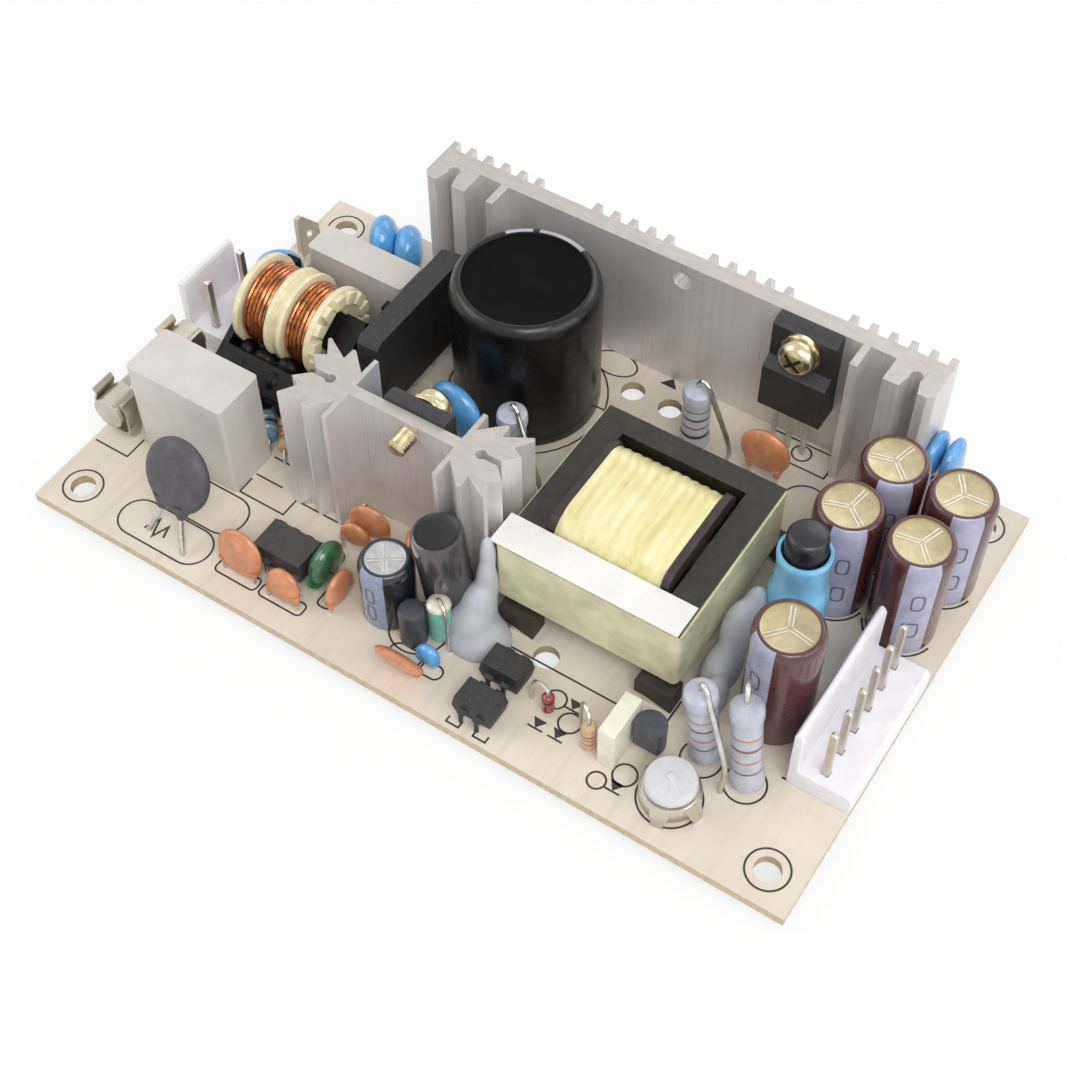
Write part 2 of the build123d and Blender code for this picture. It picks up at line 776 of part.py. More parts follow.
# Headers: a tray with a locking wall along one long side
def header_housing(wall_x, y, slots):
    """Housing whose wall stands at wall_x, with its tray towards the right."""
    half = (max(slots) - min(slots)) * pin_pitch / 2 + header_end_margin
    side = Plane(origin=at(wall_x, y + half), x_dir=(1, 0, 0), z_dir=(0, -1, 0))
    with BuildPart() as housing:
        with BuildSketch(side):
            wall, tall, low = header_wall_thickness, header_wall_height, header_base_height
            with BuildLine():
                Polyline(
                    (0, 0), (header_depth, 0), (header_depth, low - 0.6), (header_depth - 0.6, low),
                    (wall, low), (wall, tall - 0.8), (wall - 0.5, tall), (0.3, tall), (0, tall - 0.6), close=True,
                )
            make_face()
        extrude(amount=2 * half)
        for slot in slots:
            px = wall_x + header_pin_depth
            py = y + slot * pin_pitch
            block(px - pin_size / 2, py - pin_size / 2, -0.1, px + pin_size / 2, py + pin_size / 2,
                  header_base_height + 0.1, mode=Mode.SUBTRACT)
    return housing


keep(header_housing(input_wall_x, input_header_y, input_pin_slots), "input_header_housing")
keep(header_housing(output_wall_x, output_header_y, output_pin_slots), "output_header_housing")

for name, spots in (("input_header_pins", input_pins), ("output_header_pins", output_pins)):
    with BuildPart() as header_pins:
        for x, y in spots:
            post(x, y, -board_thickness - pin_reach, header_pin_height, pin_size)
        chamfer(header_pins.faces().group_by(Axis.Z)[-1].edges(), length=0.3)
    keep(header_pins, name)


# Fuse and its clips
fuse_back = fuse_front + fuse_length
with BuildPart() as fuse:
    fuse_plane = Plane(origin=at(fuse_x, fuse_front, fuse_height), x_dir=(1, 0, 0), z_dir=(0, 1, 0))
    with BuildSketch(fuse_plane.offset(fuse_cap_length)):
        Circle(fuse_glass_radius)
    extrude(amount=fuse_length - 2 * fuse_cap_length)
    for start in (0, fuse_length - fuse_cap_length):
        with BuildSketch(fuse_plane.offset(start)):
            Circle(fuse_radius)
        extrude(amount=fuse_cap_length)
keep(fuse, "fuse")

with BuildPart() as fuse_clips:
    for clip_y in (fuse_front + 0.8, fuse_back - 0.8 - clip_width):
        with BuildSketch(Plane(origin=at(fuse_x, clip_y), x_dir=(-1, 0, 0), z_dir=(0, 1, 0))):
            bore = fuse_radius + clip_clearance
            outer = bore + clip_thickness
            with Locations((0, fuse_height)):
                Circle(outer)
                Circle(bore, mode=Mode.SUBTRACT)
            with Locations((0, fuse_height + outer)):
                Rectangle(2 * outer, 2 * outer * 0.72, mode=Mode.SUBTRACT)
            with Locations((0, (fuse_height - bore) / 2)):
                Rectangle(clip_thickness * 4, fuse_height - bore)
            with Locations((-1.9, 1.2), (1.9, 1.2)):
                Rectangle(clip_thickness, 2.4)
            with Locations((0, 2.4)):
                Rectangle(3.8 + clip_thickness, clip_thickness)
        extrude(amount=clip_width)
keep(fuse_clips, "fuse_clips")
for clip_y in (fuse_front + 0.8, fuse_back - 0.8 - clip_width):
    leads += [(fuse_x - 1.9, clip_y + clip_width / 2), (fuse_x + 1.9, clip_y + clip_width / 2)]


# Disc-shaped parts
def disc_on_leads(first, second, radius, thickness, rise, lean, arm=lead_size):
    """A round body held upright, or leaning back, by two straight leads."""
    x, y = (first[0] + second[0]) / 2, (first[1] + second[1]) / 2
    along = (second[0] - first[0], second[1] - first[1])
    spread = hypot(*along) / 2
    plane = standing(x, y, 0, along, lean)
    with BuildSketch(plane) as body:
        with Locations((0, rise)):
            Circle(radius)
    extrude(body.sketch, amount=thickness / 2, both=True)
    with BuildSketch(plane) as arms:
        reach = max(rise - (max(radius ** 2 - spread ** 2, 0.2)) ** 0.5, 1.0) + 0.8
        with Locations((-spread, reach / 2 - 0.5), (spread, reach / 2 - 0.5)):
            Rectangle(arm, reach + 1.0)
    extrude(arms.sketch, amount=arm / 2, both=True)
    leads.extend([first, second])


with BuildPart() as thermistor:
    disc_on_leads(*thermistor_leads, thermistor_radius, thermistor_thickness, thermistor_rise, thermistor_lean, 0.9)
    split(bisect_by=board_top, keep=Keep.TOP)
keep(thermistor, "thermistor")

for group, discs in blue_discs.items():
    with BuildPart() as blue_group:
        for disc in discs:
            disc_on_leads(*disc)
        split(bisect_by=board_top, keep=Keep.TOP)
    keep(blue_group, f"{group}_safety_capacitors")

with BuildPart() as ceramic_capacitors:
    for disc in orange_discs:
        disc_on_leads(*disc)
    split(bisect_by=board_top, keep=Keep.TOP)
keep(ceramic_capacitors, "ceramic_capacitors")

with BuildPart() as green_capacitor:
    first, second, radius, thickness, rise, lean = green_film
    disc_on_leads(first, second, radius, thickness, rise, lean)
    split(bisect_by=board_top, keep=Keep.TOP)
keep(green_capacitor, "green_film_capacitor")


# Earth tab
with BuildPart() as earth_tab:
    with BuildSketch(Plane(origin=at(tab_x, tab_y), x_dir=(0, 1, 0), z_dir=(1, 0, 0))):
        with BuildLine():
            Polyline((0, 0), (tab_width, 0), (tab_width, tab_height * 0.48), (1.2, tab_height),
                     (0, tab_height), close=True)
        make_face()
        with Locations((tab_width * 0.5, tab_height * 0.45)):
            Circle(tab_hole_diameter / 2, mode=Mode.SUBTRACT)
    extrude(amount=tab_thickness)
    block(tab_x, tab_y - tab_foot, 0, tab_x + 3.0, tab_y, tab_thickness)
keep(earth_tab, "earth_tab")
leads += [(tab_x + 1.0, tab_y - 1.2), (tab_x + 0.4, tab_y + tab_width / 2)]


# Inductors
with BuildPart() as dark_inductor:
    r, h = dark_inductor_radius, dark_inductor_height
    revolved_can(*dark_inductor_spot, [(0, 0), (r, 0), (r, h - 0.3), (r - 0.3, h), (0, h)])
keep(dark_inductor, "dark_inductor")
leads += [(dark_inductor_spot[0] + step, dark_inductor_spot[1]) for step in (-1.5, 1.5)]

with BuildPart() as sleeved_core:
    x, y = sleeved_spot
    r, h = sleeved_core_radius, sleeved_height
    revolved_can(x, y, [(0, 0.6), (r, 0.6), (r, h - 0.4), (r - 0.4, h), (0, h)])
    post(x - 1.5, y, 0, 0.6)
    post(x + 1.5, y, 0, 0.6)
keep(sleeved_core, "sleeved_inductor_core")
leads += [(sleeved_spot[0] + step, sleeved_spot[1]) for step in (-1.5, 1.5)]

with BuildPart() as sleeve:
    r, neck, bulge, knee = sleeved_core_radius, sleeve_radius, sleeve_bulge_radius, sleeve_bulge_height
    revolved_can(*sleeved_spot, [
        (r, 0.2), (bulge, 0.2), (bulge, knee), (neck, knee + 1.5), (neck, sleeve_height), (r, sleeve_height),
    ])
keep(sleeve, "sleeved_inductor_sleeve")


# Power resistors: body on end, with one lead looped down to the board beside it
def power_resistor(foot, loop_foot, lean, length):
    """A resistor with a waisted body between two thicker ends; its top leans out by a distance."""
    x, y = foot
    axis = Vector(*lean, length).normalized()
    along = Vector(loop_foot[0] - x, loop_foot[1] - y, 0)
    side = along.cross(axis).normalized()
    loop_plane = Plane(origin=at(x, y), x_dir=along, z_dir=side)
    body_plane = Plane(origin=at(x, y), x_dir=axis.cross(side), z_dir=side)
    low, high = resistor_lift, resistor_lift + length
    r, cap, waist = resistor_radius, resistor_cap_length, resistor_radius - resistor_waist
    with BuildPart() as resistor:
        with BuildSketch(body_plane):
            with BuildLine():
                Polyline(
                    (0, low), (r, low), (r, low + cap), (waist, low + cap + 0.4), (waist, high - cap - 0.4),
                    (r, high - cap), (r, high - resistor_edge), (r - resistor_edge, high), (0, high), close=True,
                )
            make_face()
        revolve(axis=Axis(at(x, y), axis))
        post(x, y, 0, low + 0.2, loop_wire)
        with BuildSketch(loop_plane):
            end, up = axis.dot(loop_plane.x_dir), axis.dot(loop_plane.y_dir)
            top = high + loop_rise
            path = [
                (end * (high - 0.1), up * (high - 0.1)), (end * (top - 0.8), up * (top - 0.8)),
                (end * top + 0.9, up * top), (end * top + 2.1, up * top - 0.2),
                (along.length, up * high - loop_drop), (along.length, -1.0),
            ]
            with BuildLine():
                Polyline(*wire_outline(path, loop_wire), close=True)
            make_face()
        extrude(amount=loop_wire / 2, both=True)
        split(bisect_by=board_top, keep=Keep.TOP)
        leads.extend([foot, loop_foot])
    return resistor


for number, build in enumerate(power_resistors, start=1):
    keep(power_resistor(*build), f"power_resistor_{number}")


# Dual-in-line parts
def dual_in_line(x, y, length, width, height, lift, steps):
    """A moulded body with bent legs along both long sides."""
    with BuildPart() as dip:
        with BuildSketch(level(x, y, lift)):
            Rectangle(length - 0.6, width - 0.6)
        with BuildSketch(level(x, y, lift + height / 2)):
            Rectangle(length, width)
        with BuildSketch(level(x, y, lift + height)):
            Rectangle(length - 0.6, width - 0.6)
        loft(ruled=True)
        for step in steps:
            for side in (-1, 1):
                leg_y = y + side * (width / 2 + 0.6)
                inner_y = y + side * (width / 2 - 0.3)
                y0, y1 = sorted((inner_y, leg_y + side * 0.15))
                block(x + step - 0.6, y0, lift + height / 2 - 0.15, x + step + 0.6, y1, lift + height / 2 + 0.15)
                block(x + step - 0.3, leg_y - 0.15, 0, x + step + 0.3, leg_y + 0.15, lift + height / 2)
                leads.append((x + step, leg_y))
    return dip


for number, (x, y) in enumerate(opto_spots, start=1):
    dip = dual_in_line(x, y, opto_length, opto_width, opto_height, opto_lift, (-1.27, 1.27))
    keep(dip, f"optocoupler_{number}")
ic = dual_in_line(*control_ic_spot, control_ic_length, control_ic_width, control_ic_height, control_ic_lift,
                  (-3.81, -1.27, 1.27, 3.81))
keep(ic, "control_ic")

with BuildPart() as box_cap:
    x0, y0, size_x, size_y, height = box_capacitor
    block(x0, y0, 0, x0 + size_x, y0 + size_y, height)
    leads += [(x0 + size_x / 2, y0 + 1.1), (x0 + size_x / 2, y0 + size_y - 1.1)]
keep(box_cap, "box_capacitor")

with BuildPart() as black_cylinder:
    x, y, r, h = small_black_cylinder
    revolved_can(x, y, [(0, 0), (r, 0), (r, h - 0.3), (r - 0.3, h), (0, h)])
    leads += [(x - 1.0, y), (x + 1.0, y)]
keep(black_cylinder, "small_inductor")

with BuildPart() as small_transistors:
    for x, y in to92_spots:
        with BuildSketch(level(x, y, 2.2)):
            Circle(2.3)
            with Locations((0, -2.3)):
                Rectangle(5.0, 2.0, mode=Mode.SUBTRACT)
        extrude(amount=4.6)
        for step in (-1.27, 0, 1.27):
            post(x + step, y, 0, 2.2, 0.5)
            leads.append((x + step, y))
keep(small_transistors, "small_transistors")


# Trimmer: a square body and the rotor that turns in it
with BuildPart() as trimmer_body:
    x, y = trimmer_spot
    half = trimmer_body_size / 2
    block(x - half, y - half, 0, x + half, y + half, trimmer_body_height)
    with BuildSketch(level(x, y, trimmer_body_height)):
        Circle(trimmer_shaft_radius + trimmer_shaft_clearance)
    extrude(amount=-trimmer_shaft_depth, mode=Mode.SUBTRACT)
keep(trimmer_body, "trimmer_body")
leads += [(x, y + 2.4), (x - 2.4, y - 2.4), (x + 2.4, y - 2.4)]

with BuildPart() as trimmer_rotor:
    rotor_low = trimmer_body_height + trimmer_running_gap
    rotor_top = rotor_low + trimmer_rotor_height
    r, shaft = trimmer_rotor_radius, trimmer_shaft_radius
    shaft_end = rotor_low - trimmer_shaft_depth
    revolved_can(*trimmer_spot, [
        (0, shaft_end), (shaft, shaft_end), (shaft, rotor_low), (r, rotor_low),
        (r, rotor_top - trimmer_edge), (r - trimmer_edge, rotor_top), (0, rotor_top),
    ])
    with BuildSketch(level(*trimmer_spot, rotor_top, turn=trimmer_slot_turn)):
        Rectangle(trimmer_slot_length, trimmer_slot_width)
        Rectangle(trimmer_slot_width, trimmer_slot_length)
    extrude(amount=-trimmer_slot_depth, mode=Mode.SUBTRACT)
keep(trimmer_rotor, "trimmer_rotor")


# Small axial parts
def axial_parts(parts):
    """Bodies lying on the board with their leads bent down at both ends."""
    for first, second, radius, length in parts:
        x, y = (first[0] + second[0]) / 2, (first[1] + second[1]) / 2
        along = (second[0] - first[0], second[1] - first[1])
        span = hypot(*along)
        across = Vector(along[0] / span, along[1] / span, 0)
        with BuildSketch(Plane(origin=at(x, y, radius), x_dir=(0, 0, 1), z_dir=across)) as body:
            Circle(radius)
        extrude(body.sketch, amount=length / 2, both=True)
        with BuildSketch(standing(x, y, 0, along)) as wire:
            with Locations((-span / 2, radius / 2), (span / 2, radius / 2)):
                Rectangle(lead_size, radius)
            with Locations((0, radius)):
                Rectangle(span + lead_size, lead_size)
        extrude(wire.sketch, amount=lead_size / 2, both=True)
        leads.extend([first, second])


with BuildPart() as small_diodes:
    axial_parts(lying_diodes)
keep(small_diodes, "small_diodes")

with BuildPart() as small_resistors:
    axial_parts(lying_resistors)
keep(small_resistors, "small_resistors")


# Adhesive: soft mounds beside the front heatsink's foot and beside the transformer
def mound(x, y, half_length, half_width, height):
    """A low crowned mound on an oval foot."""
    sections = ((0, 1.0), (height * mound_shoulder, mound_shoulder), (height, mound_crown))
    with BuildPart() as adhesive:
        for z, share in sections:
            with BuildSketch(level(x, y, z)):
                Ellipse(half_length * share, half_width * share)
        loft(ruled=True)
    return adhesive


keep(mound(*foot_adhesive), "heatsink_adhesive")
keep(mound(*core_adhesive), "transformer_adhesive")


# The board, drilled for the pins and slotted for the lugs
with BuildPart() as circuit_board:
    with Locations((0, 0, board_thickness / 2)):
        Box(board_length, board_width, board_thickness)
    spacing = (board_length - 2 * hole_inset, board_width - 2 * hole_inset)
    with BuildSketch(board_top):
        with GridLocations(*spacing, 2, 2):
            Circle(hole_diameter / 2)
        with Locations(*[at(*spot) for spot in vent_hole_spots]):
            Circle(vent_hole_diameter / 2)
        with Locations(*[at(*spot) for spot in pins]):
            Circle(pin_hole_diameter / 2)
        with Locations(*[at(*spot) for spot in lugs]):
            Rectangle(lug_width + slot_clearance, lug_thickness + slot_clearance)
    extrude(amount=-board_thickness, mode=Mode.SUBTRACT)
keep(circuit_board, "circuit_board")

with BuildPart() as solder_cone:
    tip = solder_radius - solder_tip_radius
    with Locations(Location((0, 0, -lead_tip_reach / 2), (-90, 0, 0))):
        Wedge(2 * solder_radius, lead_tip_reach, 2 * solder_radius, tip, tip,
              2 * solder_radius - tip, 2 * solder_radius - tip)

with BuildPart() as solder_joints:
    with Locations(*[(at(*spot).X, at(*spot).Y) for spot in leads]):
        add(solder_cone.part)
keep(solder_joints, "solder_joints")
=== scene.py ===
from math import copysign, cos, pi, radians, sin, sqrt

import bpy
from mathutils import Matrix, Vector

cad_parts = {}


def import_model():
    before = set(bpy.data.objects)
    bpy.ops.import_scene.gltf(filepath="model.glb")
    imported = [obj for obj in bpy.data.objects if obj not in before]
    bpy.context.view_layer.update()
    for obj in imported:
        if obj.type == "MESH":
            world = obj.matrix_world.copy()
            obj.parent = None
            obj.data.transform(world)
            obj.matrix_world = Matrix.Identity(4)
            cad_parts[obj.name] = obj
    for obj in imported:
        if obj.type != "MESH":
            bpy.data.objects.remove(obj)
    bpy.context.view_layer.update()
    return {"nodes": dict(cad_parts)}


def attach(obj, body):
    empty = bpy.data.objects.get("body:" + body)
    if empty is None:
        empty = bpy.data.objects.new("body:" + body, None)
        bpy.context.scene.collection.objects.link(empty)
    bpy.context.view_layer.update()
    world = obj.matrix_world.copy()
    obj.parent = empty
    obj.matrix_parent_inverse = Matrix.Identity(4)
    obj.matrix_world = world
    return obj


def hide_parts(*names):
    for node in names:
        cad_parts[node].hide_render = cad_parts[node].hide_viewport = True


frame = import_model()
nodes = frame["nodes"]

# Places are given as in the part's source: millimetres from the board's front left corner
# and from its top face. Only the finished meshes are in metres, in the part's own frame.
BOARD = (127.0, 76.2, 1.6)
MM = 0.001
UP = Vector((0, 0, 1))
MOUNT_INSET = 5.08


def world(point):
    """A place on the board as a point in metres in the part's frame."""
    x, y, z = point
    return Vector((x - BOARD[0] / 2, y - BOARD[1] / 2, z + BOARD[2])) * MM


def put(name, data):
    """A new object in the scene."""
    made = bpy.data.objects.new(name, data)
    bpy.context.scene.collection.objects.link(made)
    return made


# Camera, solved from the board's corners and mounting rings in the photograph
camera_place = Vector((91.66, -136.29, 211.91))
camera_right = Vector((0.83770525, 0.54606994, -0.00758532))
camera_up = Vector((-0.43171477, 0.67065612, 0.60319377))
camera_back = camera_right.cross(camera_up)
camera_turn = Matrix((camera_right, camera_up, camera_back)).transposed().to_4x4()
camera_data = bpy.data.cameras.new("camera")
camera_data.sensor_width = 36.0
camera_data.lens = 60.495
camera_data.clip_start = 0.01
camera_data.clip_end = 10.0
camera = put("camera", camera_data)
camera.matrix_world = Matrix.Translation(camera_place * MM) @ camera_turn
bpy.context.scene.camera = camera
bpy.context.scene.view_settings.view_transform = "Standard"


# Materials
def linear(colour):
    """A colour written as 0 to 255 levels, as the shader wants it."""
    levels = [c / 255 for c in colour]
    return tuple(c / 12.92 if c <= 0.04045 else ((c + 0.055) / 1.055) ** 2.4 for c in levels) + (1.0,)


def add_node(tree, kind, inputs=None, **settings):
    """A node with its settings; an input is a value or another node's output."""
    node = tree.nodes.new(kind)
    for key, value in settings.items():
        setattr(node, key, value)
    for key, value in (inputs or {}).items():
        if isinstance(value, bpy.types.NodeSocket):
            tree.links.new(value, node.inputs[key])
        else:
            node.inputs[key].default_value = value
    return node


class Paint:
    """A node material in the making."""

    def __init__(self, name):
        self.material = bpy.data.materials.new(name)
        self.material.use_nodes = True
        self.tree = self.material.node_tree
        self.shader = self.tree.nodes["Principled BSDF"]
        self.place = self.add("ShaderNodeTexCoord").outputs["Object"]

    def add(self, kind, inputs=None, **settings):
        """A node in this material."""
        return add_node(self.tree, kind, inputs, **settings)

    def set(self, coat=None, **sockets):
        """Plain values on the shader's own sockets; coat is its weight and roughness."""
        if coat:
            sockets.update(Coat_Weight=coat[0], Coat_Roughness=coat[1])
        for key, value in sockets.items():
            self.shader.inputs[key.replace("_", " ")].default_value = value

    def link(self, output, key):
        """An output into the shader."""
        self.tree.links.new(output, self.shader.inputs[key])

    def scaled(self, size, stretch=(1, 1, 1)):
        """Coordinates in which a feature of a size in millimetres is one unit."""
        scale = tuple(1000.0 / size * s for s in stretch)
        return self.add("ShaderNodeMapping", {"Vector": self.place, "Scale": scale}).outputs["Vector"]

    def noise(self, size, detail=3.0, rough=0.55, stretch=(1, 1, 1)):
        """Soft noise with features of a size in millimetres."""
        where = self.scaled(size, stretch)
        inputs = {"Vector": where, "Scale": 1.0, "Detail": detail, "Roughness": rough}
        return self.add("ShaderNodeTexNoise", inputs).outputs["Fac"]

    def between(self, value, low, high, start=0.25, end=0.75):
        """A value spread onto a range."""
        made = self.add("ShaderNodeMapRange", {
            "Value": value, "From Min": start, "From Max": end, "To Min": low, "To Max": high,
        })
        return made.outputs["Result"]

    def ramp(self, value, stops):
        """A value turned into a colour by stops of (place, colour)."""
        node = self.add("ShaderNodeValToRGB", {"Fac": value})
        band = node.color_ramp
        while len(band.elements) < len(stops):
            band.elements.new(0.5)
        for element, (place, colour) in zip(band.elements, stops):
            element.position = place
            element.color = linear(colour)
        return node.outputs["Color"]

    def mix(self, share, first, second):
        """Two colours mixed by a share."""
        inputs = {0: share, 6: first, 7: second}
        return self.add("ShaderNodeMix", inputs, data_type="RGBA").outputs[2]

    def math(self, operation, *values):
        """A sum on numbers or outputs."""
        return self.add("ShaderNodeMath", dict(enumerate(values)), operation=operation).outputs[0]

    def bump(self, *heights):
        """Bumps laid over each other; each is (output, height in millimetres)."""
        normal = None
        for height, depth in heights:
            inputs = {"Height": height, "Distance": depth * MM, "Strength": 1.0}
            if normal:
                inputs["Normal"] = normal
            normal = self.add("ShaderNodeBump", inputs).outputs["Normal"]
        self.link(normal, "Normal")


def shade(colour, factor):
    """A colour made lighter or darker."""
    return tuple(max(0.0, min(255.0, c * factor)) for c in colour)


def finish(name, colour, rough=0.5, metal=0.0, patch=3.0, spread=0.08, grain=0.3, depth=0.01,
           stretch=(1, 1, 1), dust=0.0, **sockets):
    """A material with mottled colour, uneven gloss and a fine grain, each at its own size in millimetres."""
    paint = Paint(name)
    cloud = paint.noise(patch, 4.0, 0.6, stretch)
    dark, pale = shade(colour, 1 - spread), shade(colour, 1 + spread)
    tone = paint.ramp(cloud, [(0.3, dark), (0.5, colour), (0.7, pale)])
    if dust:
        lift = paint.between(paint.noise(0.5, 2.0, 0.7), 0.0, dust, 0.6, 0.75)
        tone = paint.mix(lift, tone, linear((214, 208, 198)))
    paint.link(tone, "Base Color")
    gloss = paint.noise(patch * 0.4, 3.0)
    paint.link(paint.between(gloss, rough * 0.88, min(1.0, rough * 1.12)), "Roughness")
    paint.bump((paint.noise(grain, 3.0, 0.6, stretch), depth))
    paint.set(Metallic=metal, **sockets)
    return paint.material


def board_finish():
    """Beige laminate with the fine parallel marks of its glass cloth."""
    paint = Paint("board_laminate")
    cloud = paint.noise(14.0, 3.0, 0.5)
    streaks = paint.noise(1.5, 2.0, 0.6, (1.0, 0.06, 1.0))
    tone = paint.ramp(cloud, [(0.3, (222, 211, 195)), (0.7, (231, 221, 206))])
    lines = paint.between(streaks, 0.0, 0.55, 0.5, 0.72)
    tone = paint.mix(lines, tone, linear((213, 200, 181)))
    specks = paint.between(paint.noise(0.35, 2.0), 0.0, 0.35, 0.66, 0.76)
    tone = paint.mix(specks, tone, linear((196, 180, 158)))
    paint.link(tone, "Base Color")
    paint.link(paint.between(streaks, 0.42, 0.6), "Roughness")
    paint.bump((streaks, 0.012), (paint.noise(0.3), 0.006))
    paint.set(coat=(0.15, 0.3))
    return paint.material


def tracks_finish():
    """The underside: copper tracks under a green lacquer."""
    paint = Paint("board_tracks")
    inputs = {"Vector": paint.scaled(9.0, (1, 1, 0)), "Scale": 1.0, "Randomness": 0.8}
    cells = paint.add("ShaderNodeTexVoronoi", inputs, feature="DISTANCE_TO_EDGE",
                      distance="EUCLIDEAN").outputs["Distance"]
    track = paint.between(cells, 0.0, 1.0, 0.05, 0.065)
    tone = paint.mix(track, linear((120, 150, 96)), linear((70, 116, 66)))
    stains = paint.between(paint.noise(3.0), 0.0, 0.3)
    paint.link(paint.mix(stains, tone, linear((96, 140, 84))), "Base Color")
    paint.link(paint.between(paint.noise(1.0), 0.25, 0.4), "Roughness")
    paint.bump((track, 0.035), (paint.noise(0.4), 0.006))
    paint.set(coat=(0.4, 0.15))
    return paint.material


def aluminium_finish():
    """Extruded aluminium: die lines up its height and faint stains."""
    paint = Paint("heatsink_skin")
    colour, rough, upright = (222, 217, 215), 0.34, (1.0, 1.0, 0.02)
    lines = paint.noise(0.9, 4.0, 0.7, upright)
    fine = paint.noise(0.9 * 0.25, 2.0, 0.6, upright)
    tone = paint.ramp(lines, [(0.3, shade(colour, 0.97)), (0.5, colour), (0.72, shade(colour, 1.03))])
    stains = paint.between(paint.noise(6.0, 3.0), 0.0, 0.35, 0.5, 0.8)
    paint.link(paint.mix(stains, tone, linear(shade(colour, 0.9))), "Base Color")
    paint.link(paint.between(fine, rough * 0.75, rough * 1.3), "Roughness")
    paint.bump((lines, 0.0006), (fine, 0.0002))
    paint.set(Metallic=0.45, Anisotropic=0.3)
    return paint.material


def sleeve_finish(name, colour, rough, depth=0.05, **sockets):
    """Shrunk plastic sleeve: glossy, with slow waves."""
    paint = Paint(name)
    tone = paint.ramp(paint.noise(4.0), [(0.3, shade(colour, 0.92)), (0.7, shade(colour, 1.08))])
    paint.link(tone, "Base Color")
    paint.link(paint.between(paint.noise(1.5), rough * 0.8, rough * 1.25), "Roughness")
    paint.bump((paint.noise(2.6, 2.0), depth), (paint.noise(0.4), 0.004))
    paint.set(**sockets)
    return paint.material


board_top = board_finish()
board_under = tracks_finish()
board_edge = finish("board_edge", (205, 186, 158), rough=0.7, patch=1.0, spread=0.12, grain=0.25, depth=0.04,
                    stretch=(1, 1, 4))
ink = finish("print_ink", (52, 50, 52), rough=0.55, patch=0.8, spread=0.25, grain=0.2, depth=0.008)
solder = finish("solder", (196, 198, 200), rough=0.28, metal=0.95, patch=1.2, spread=0.1, grain=0.5,
                depth=0.0025)
tin = finish("tinned_wire", (204, 201, 196), rough=0.3, metal=0.95, patch=1.0, spread=0.1, depth=0.0025)
plate_tin = finish("tinned_plate", (202, 194, 182), rough=0.3, metal=0.9, patch=4.0, spread=0.06, grain=0.6,
                   depth=0.0008)
aluminium = aluminium_finish()
sawn = finish("heatsink_sawn_end", (190, 184, 178), metal=0.35, spread=0.04, grain=0.25, depth=0.004,
              stretch=(1, 3, 1))
moulding = finish("moulded_black", (43, 42, 44), patch=1.5, spread=0.15, grain=0.16, depth=0.012, dust=0.06)
bridge_black = finish("bridge_moulding", (38, 37, 39), rough=0.45, patch=2.0, spread=0.15, grain=0.2,
                      depth=0.015, dust=0.08)
zinc = finish("zinc_plate", (206, 194, 160), rough=0.24, metal=0.95, patch=1.0, spread=0.12, depth=0.0025)
bulk_sleeve = sleeve_finish("bulk_sleeve", (9, 9, 12), 0.3, 0.02, Specular_IOR_Level=0.35, coat=(0.2, 0.12))
bulk_top = finish("bulk_top", (12, 11, 11), rough=0.6, spread=0.2, Specular_IOR_Level=0.06)
bulk_grey = sleeve_finish("bulk_stripe", (170, 172, 180), 0.25, 0.03, coat=(0.4, 0.1))
ferrite = finish("ferrite", (42, 39, 34), rough=0.3, patch=2.5, spread=0.22, grain=0.4, depth=0.015,
                 dust=0.03, Specular_IOR_Level=0.3, coat=(0.25, 0.12))
wrap_yellow = sleeve_finish("core_tape", (226, 221, 184), 0.34, 0.01, coat=(0.3, 0.15))
label_white = finish("label_paper", (240, 238, 234), patch=5.0, spread=0.02, grain=0.4, depth=0.008)
phenolic = finish("phenolic_brown", (48, 38, 35), patch=2.0, spread=0.2, depth=0.02)
cream = finish("bobbin_cream", (236, 226, 190), rough=0.42, patch=2.0, spread=0.05, grain=0.4,
               Subsurface_Weight=0.1, Subsurface_Scale=0.0006)
base_black = finish("choke_base_black", (10, 9, 10), rough=0.4, patch=2.0, spread=0.2, grain=0.5, depth=0.03,
                    Specular_IOR_Level=0.2)
film_grey = finish("film_box", (213, 208, 202), patch=6.0, spread=0.03, grain=0.25, depth=0.008)
nylon = finish("header_nylon", (240, 237, 243), rough=0.34, spread=0.02, grain=0.4, depth=0.006,
               Subsurface_Weight=0.25, Subsurface_Scale=0.002)
glass = finish("fuse_glass", (236, 240, 238), rough=0.06, spread=0.01, grain=1.0, depth=0.004,
               Transmission_Weight=0.9)
copper = finish("enamelled_copper", (168, 100, 46), rough=0.26, metal=0.75, patch=1.3, spread=0.35, grain=0.6,
                coat=(0.7, 0.1))
slate = finish("thermistor_slate", (76, 74, 80), patch=2.0, spread=0.12, grain=0.25, depth=0.03)
blue_resin = finish("blue_resin", (92, 162, 220), rough=0.22, patch=2.0, spread=0.1, grain=0.8, depth=0.03,
                    coat=(0.5, 0.08))
orange_resin = finish("orange_resin", (204, 136, 94), rough=0.35, patch=1.8, spread=0.1, grain=0.5,
                      depth=0.03, coat=(0.3, 0.2))
green_resin = finish("green_resin", (40, 98, 66), rough=0.18, patch=2.0, spread=0.15, grain=0.8, depth=0.03,
                     coat=(0.6, 0.06))
can_sleeve = sleeve_finish("can_sleeve", (82, 44, 46), 0.24, 0.03, coat=(0.4, 0.1))
can_stripe = sleeve_finish("can_stripe", (168, 168, 190), 0.28, 0.03, coat=(0.3, 0.12))
can_mark = finish("can_mark", (104, 92, 112), rough=0.4, patch=1.0, spread=0.1)
can_top = finish("can_top", (184, 172, 136), rough=0.34, metal=0.5, patch=2.0, depth=0.015)
can_groove = finish("can_groove", (226, 222, 206), rough=0.3, metal=0.4, patch=1.0, spread=0.05)
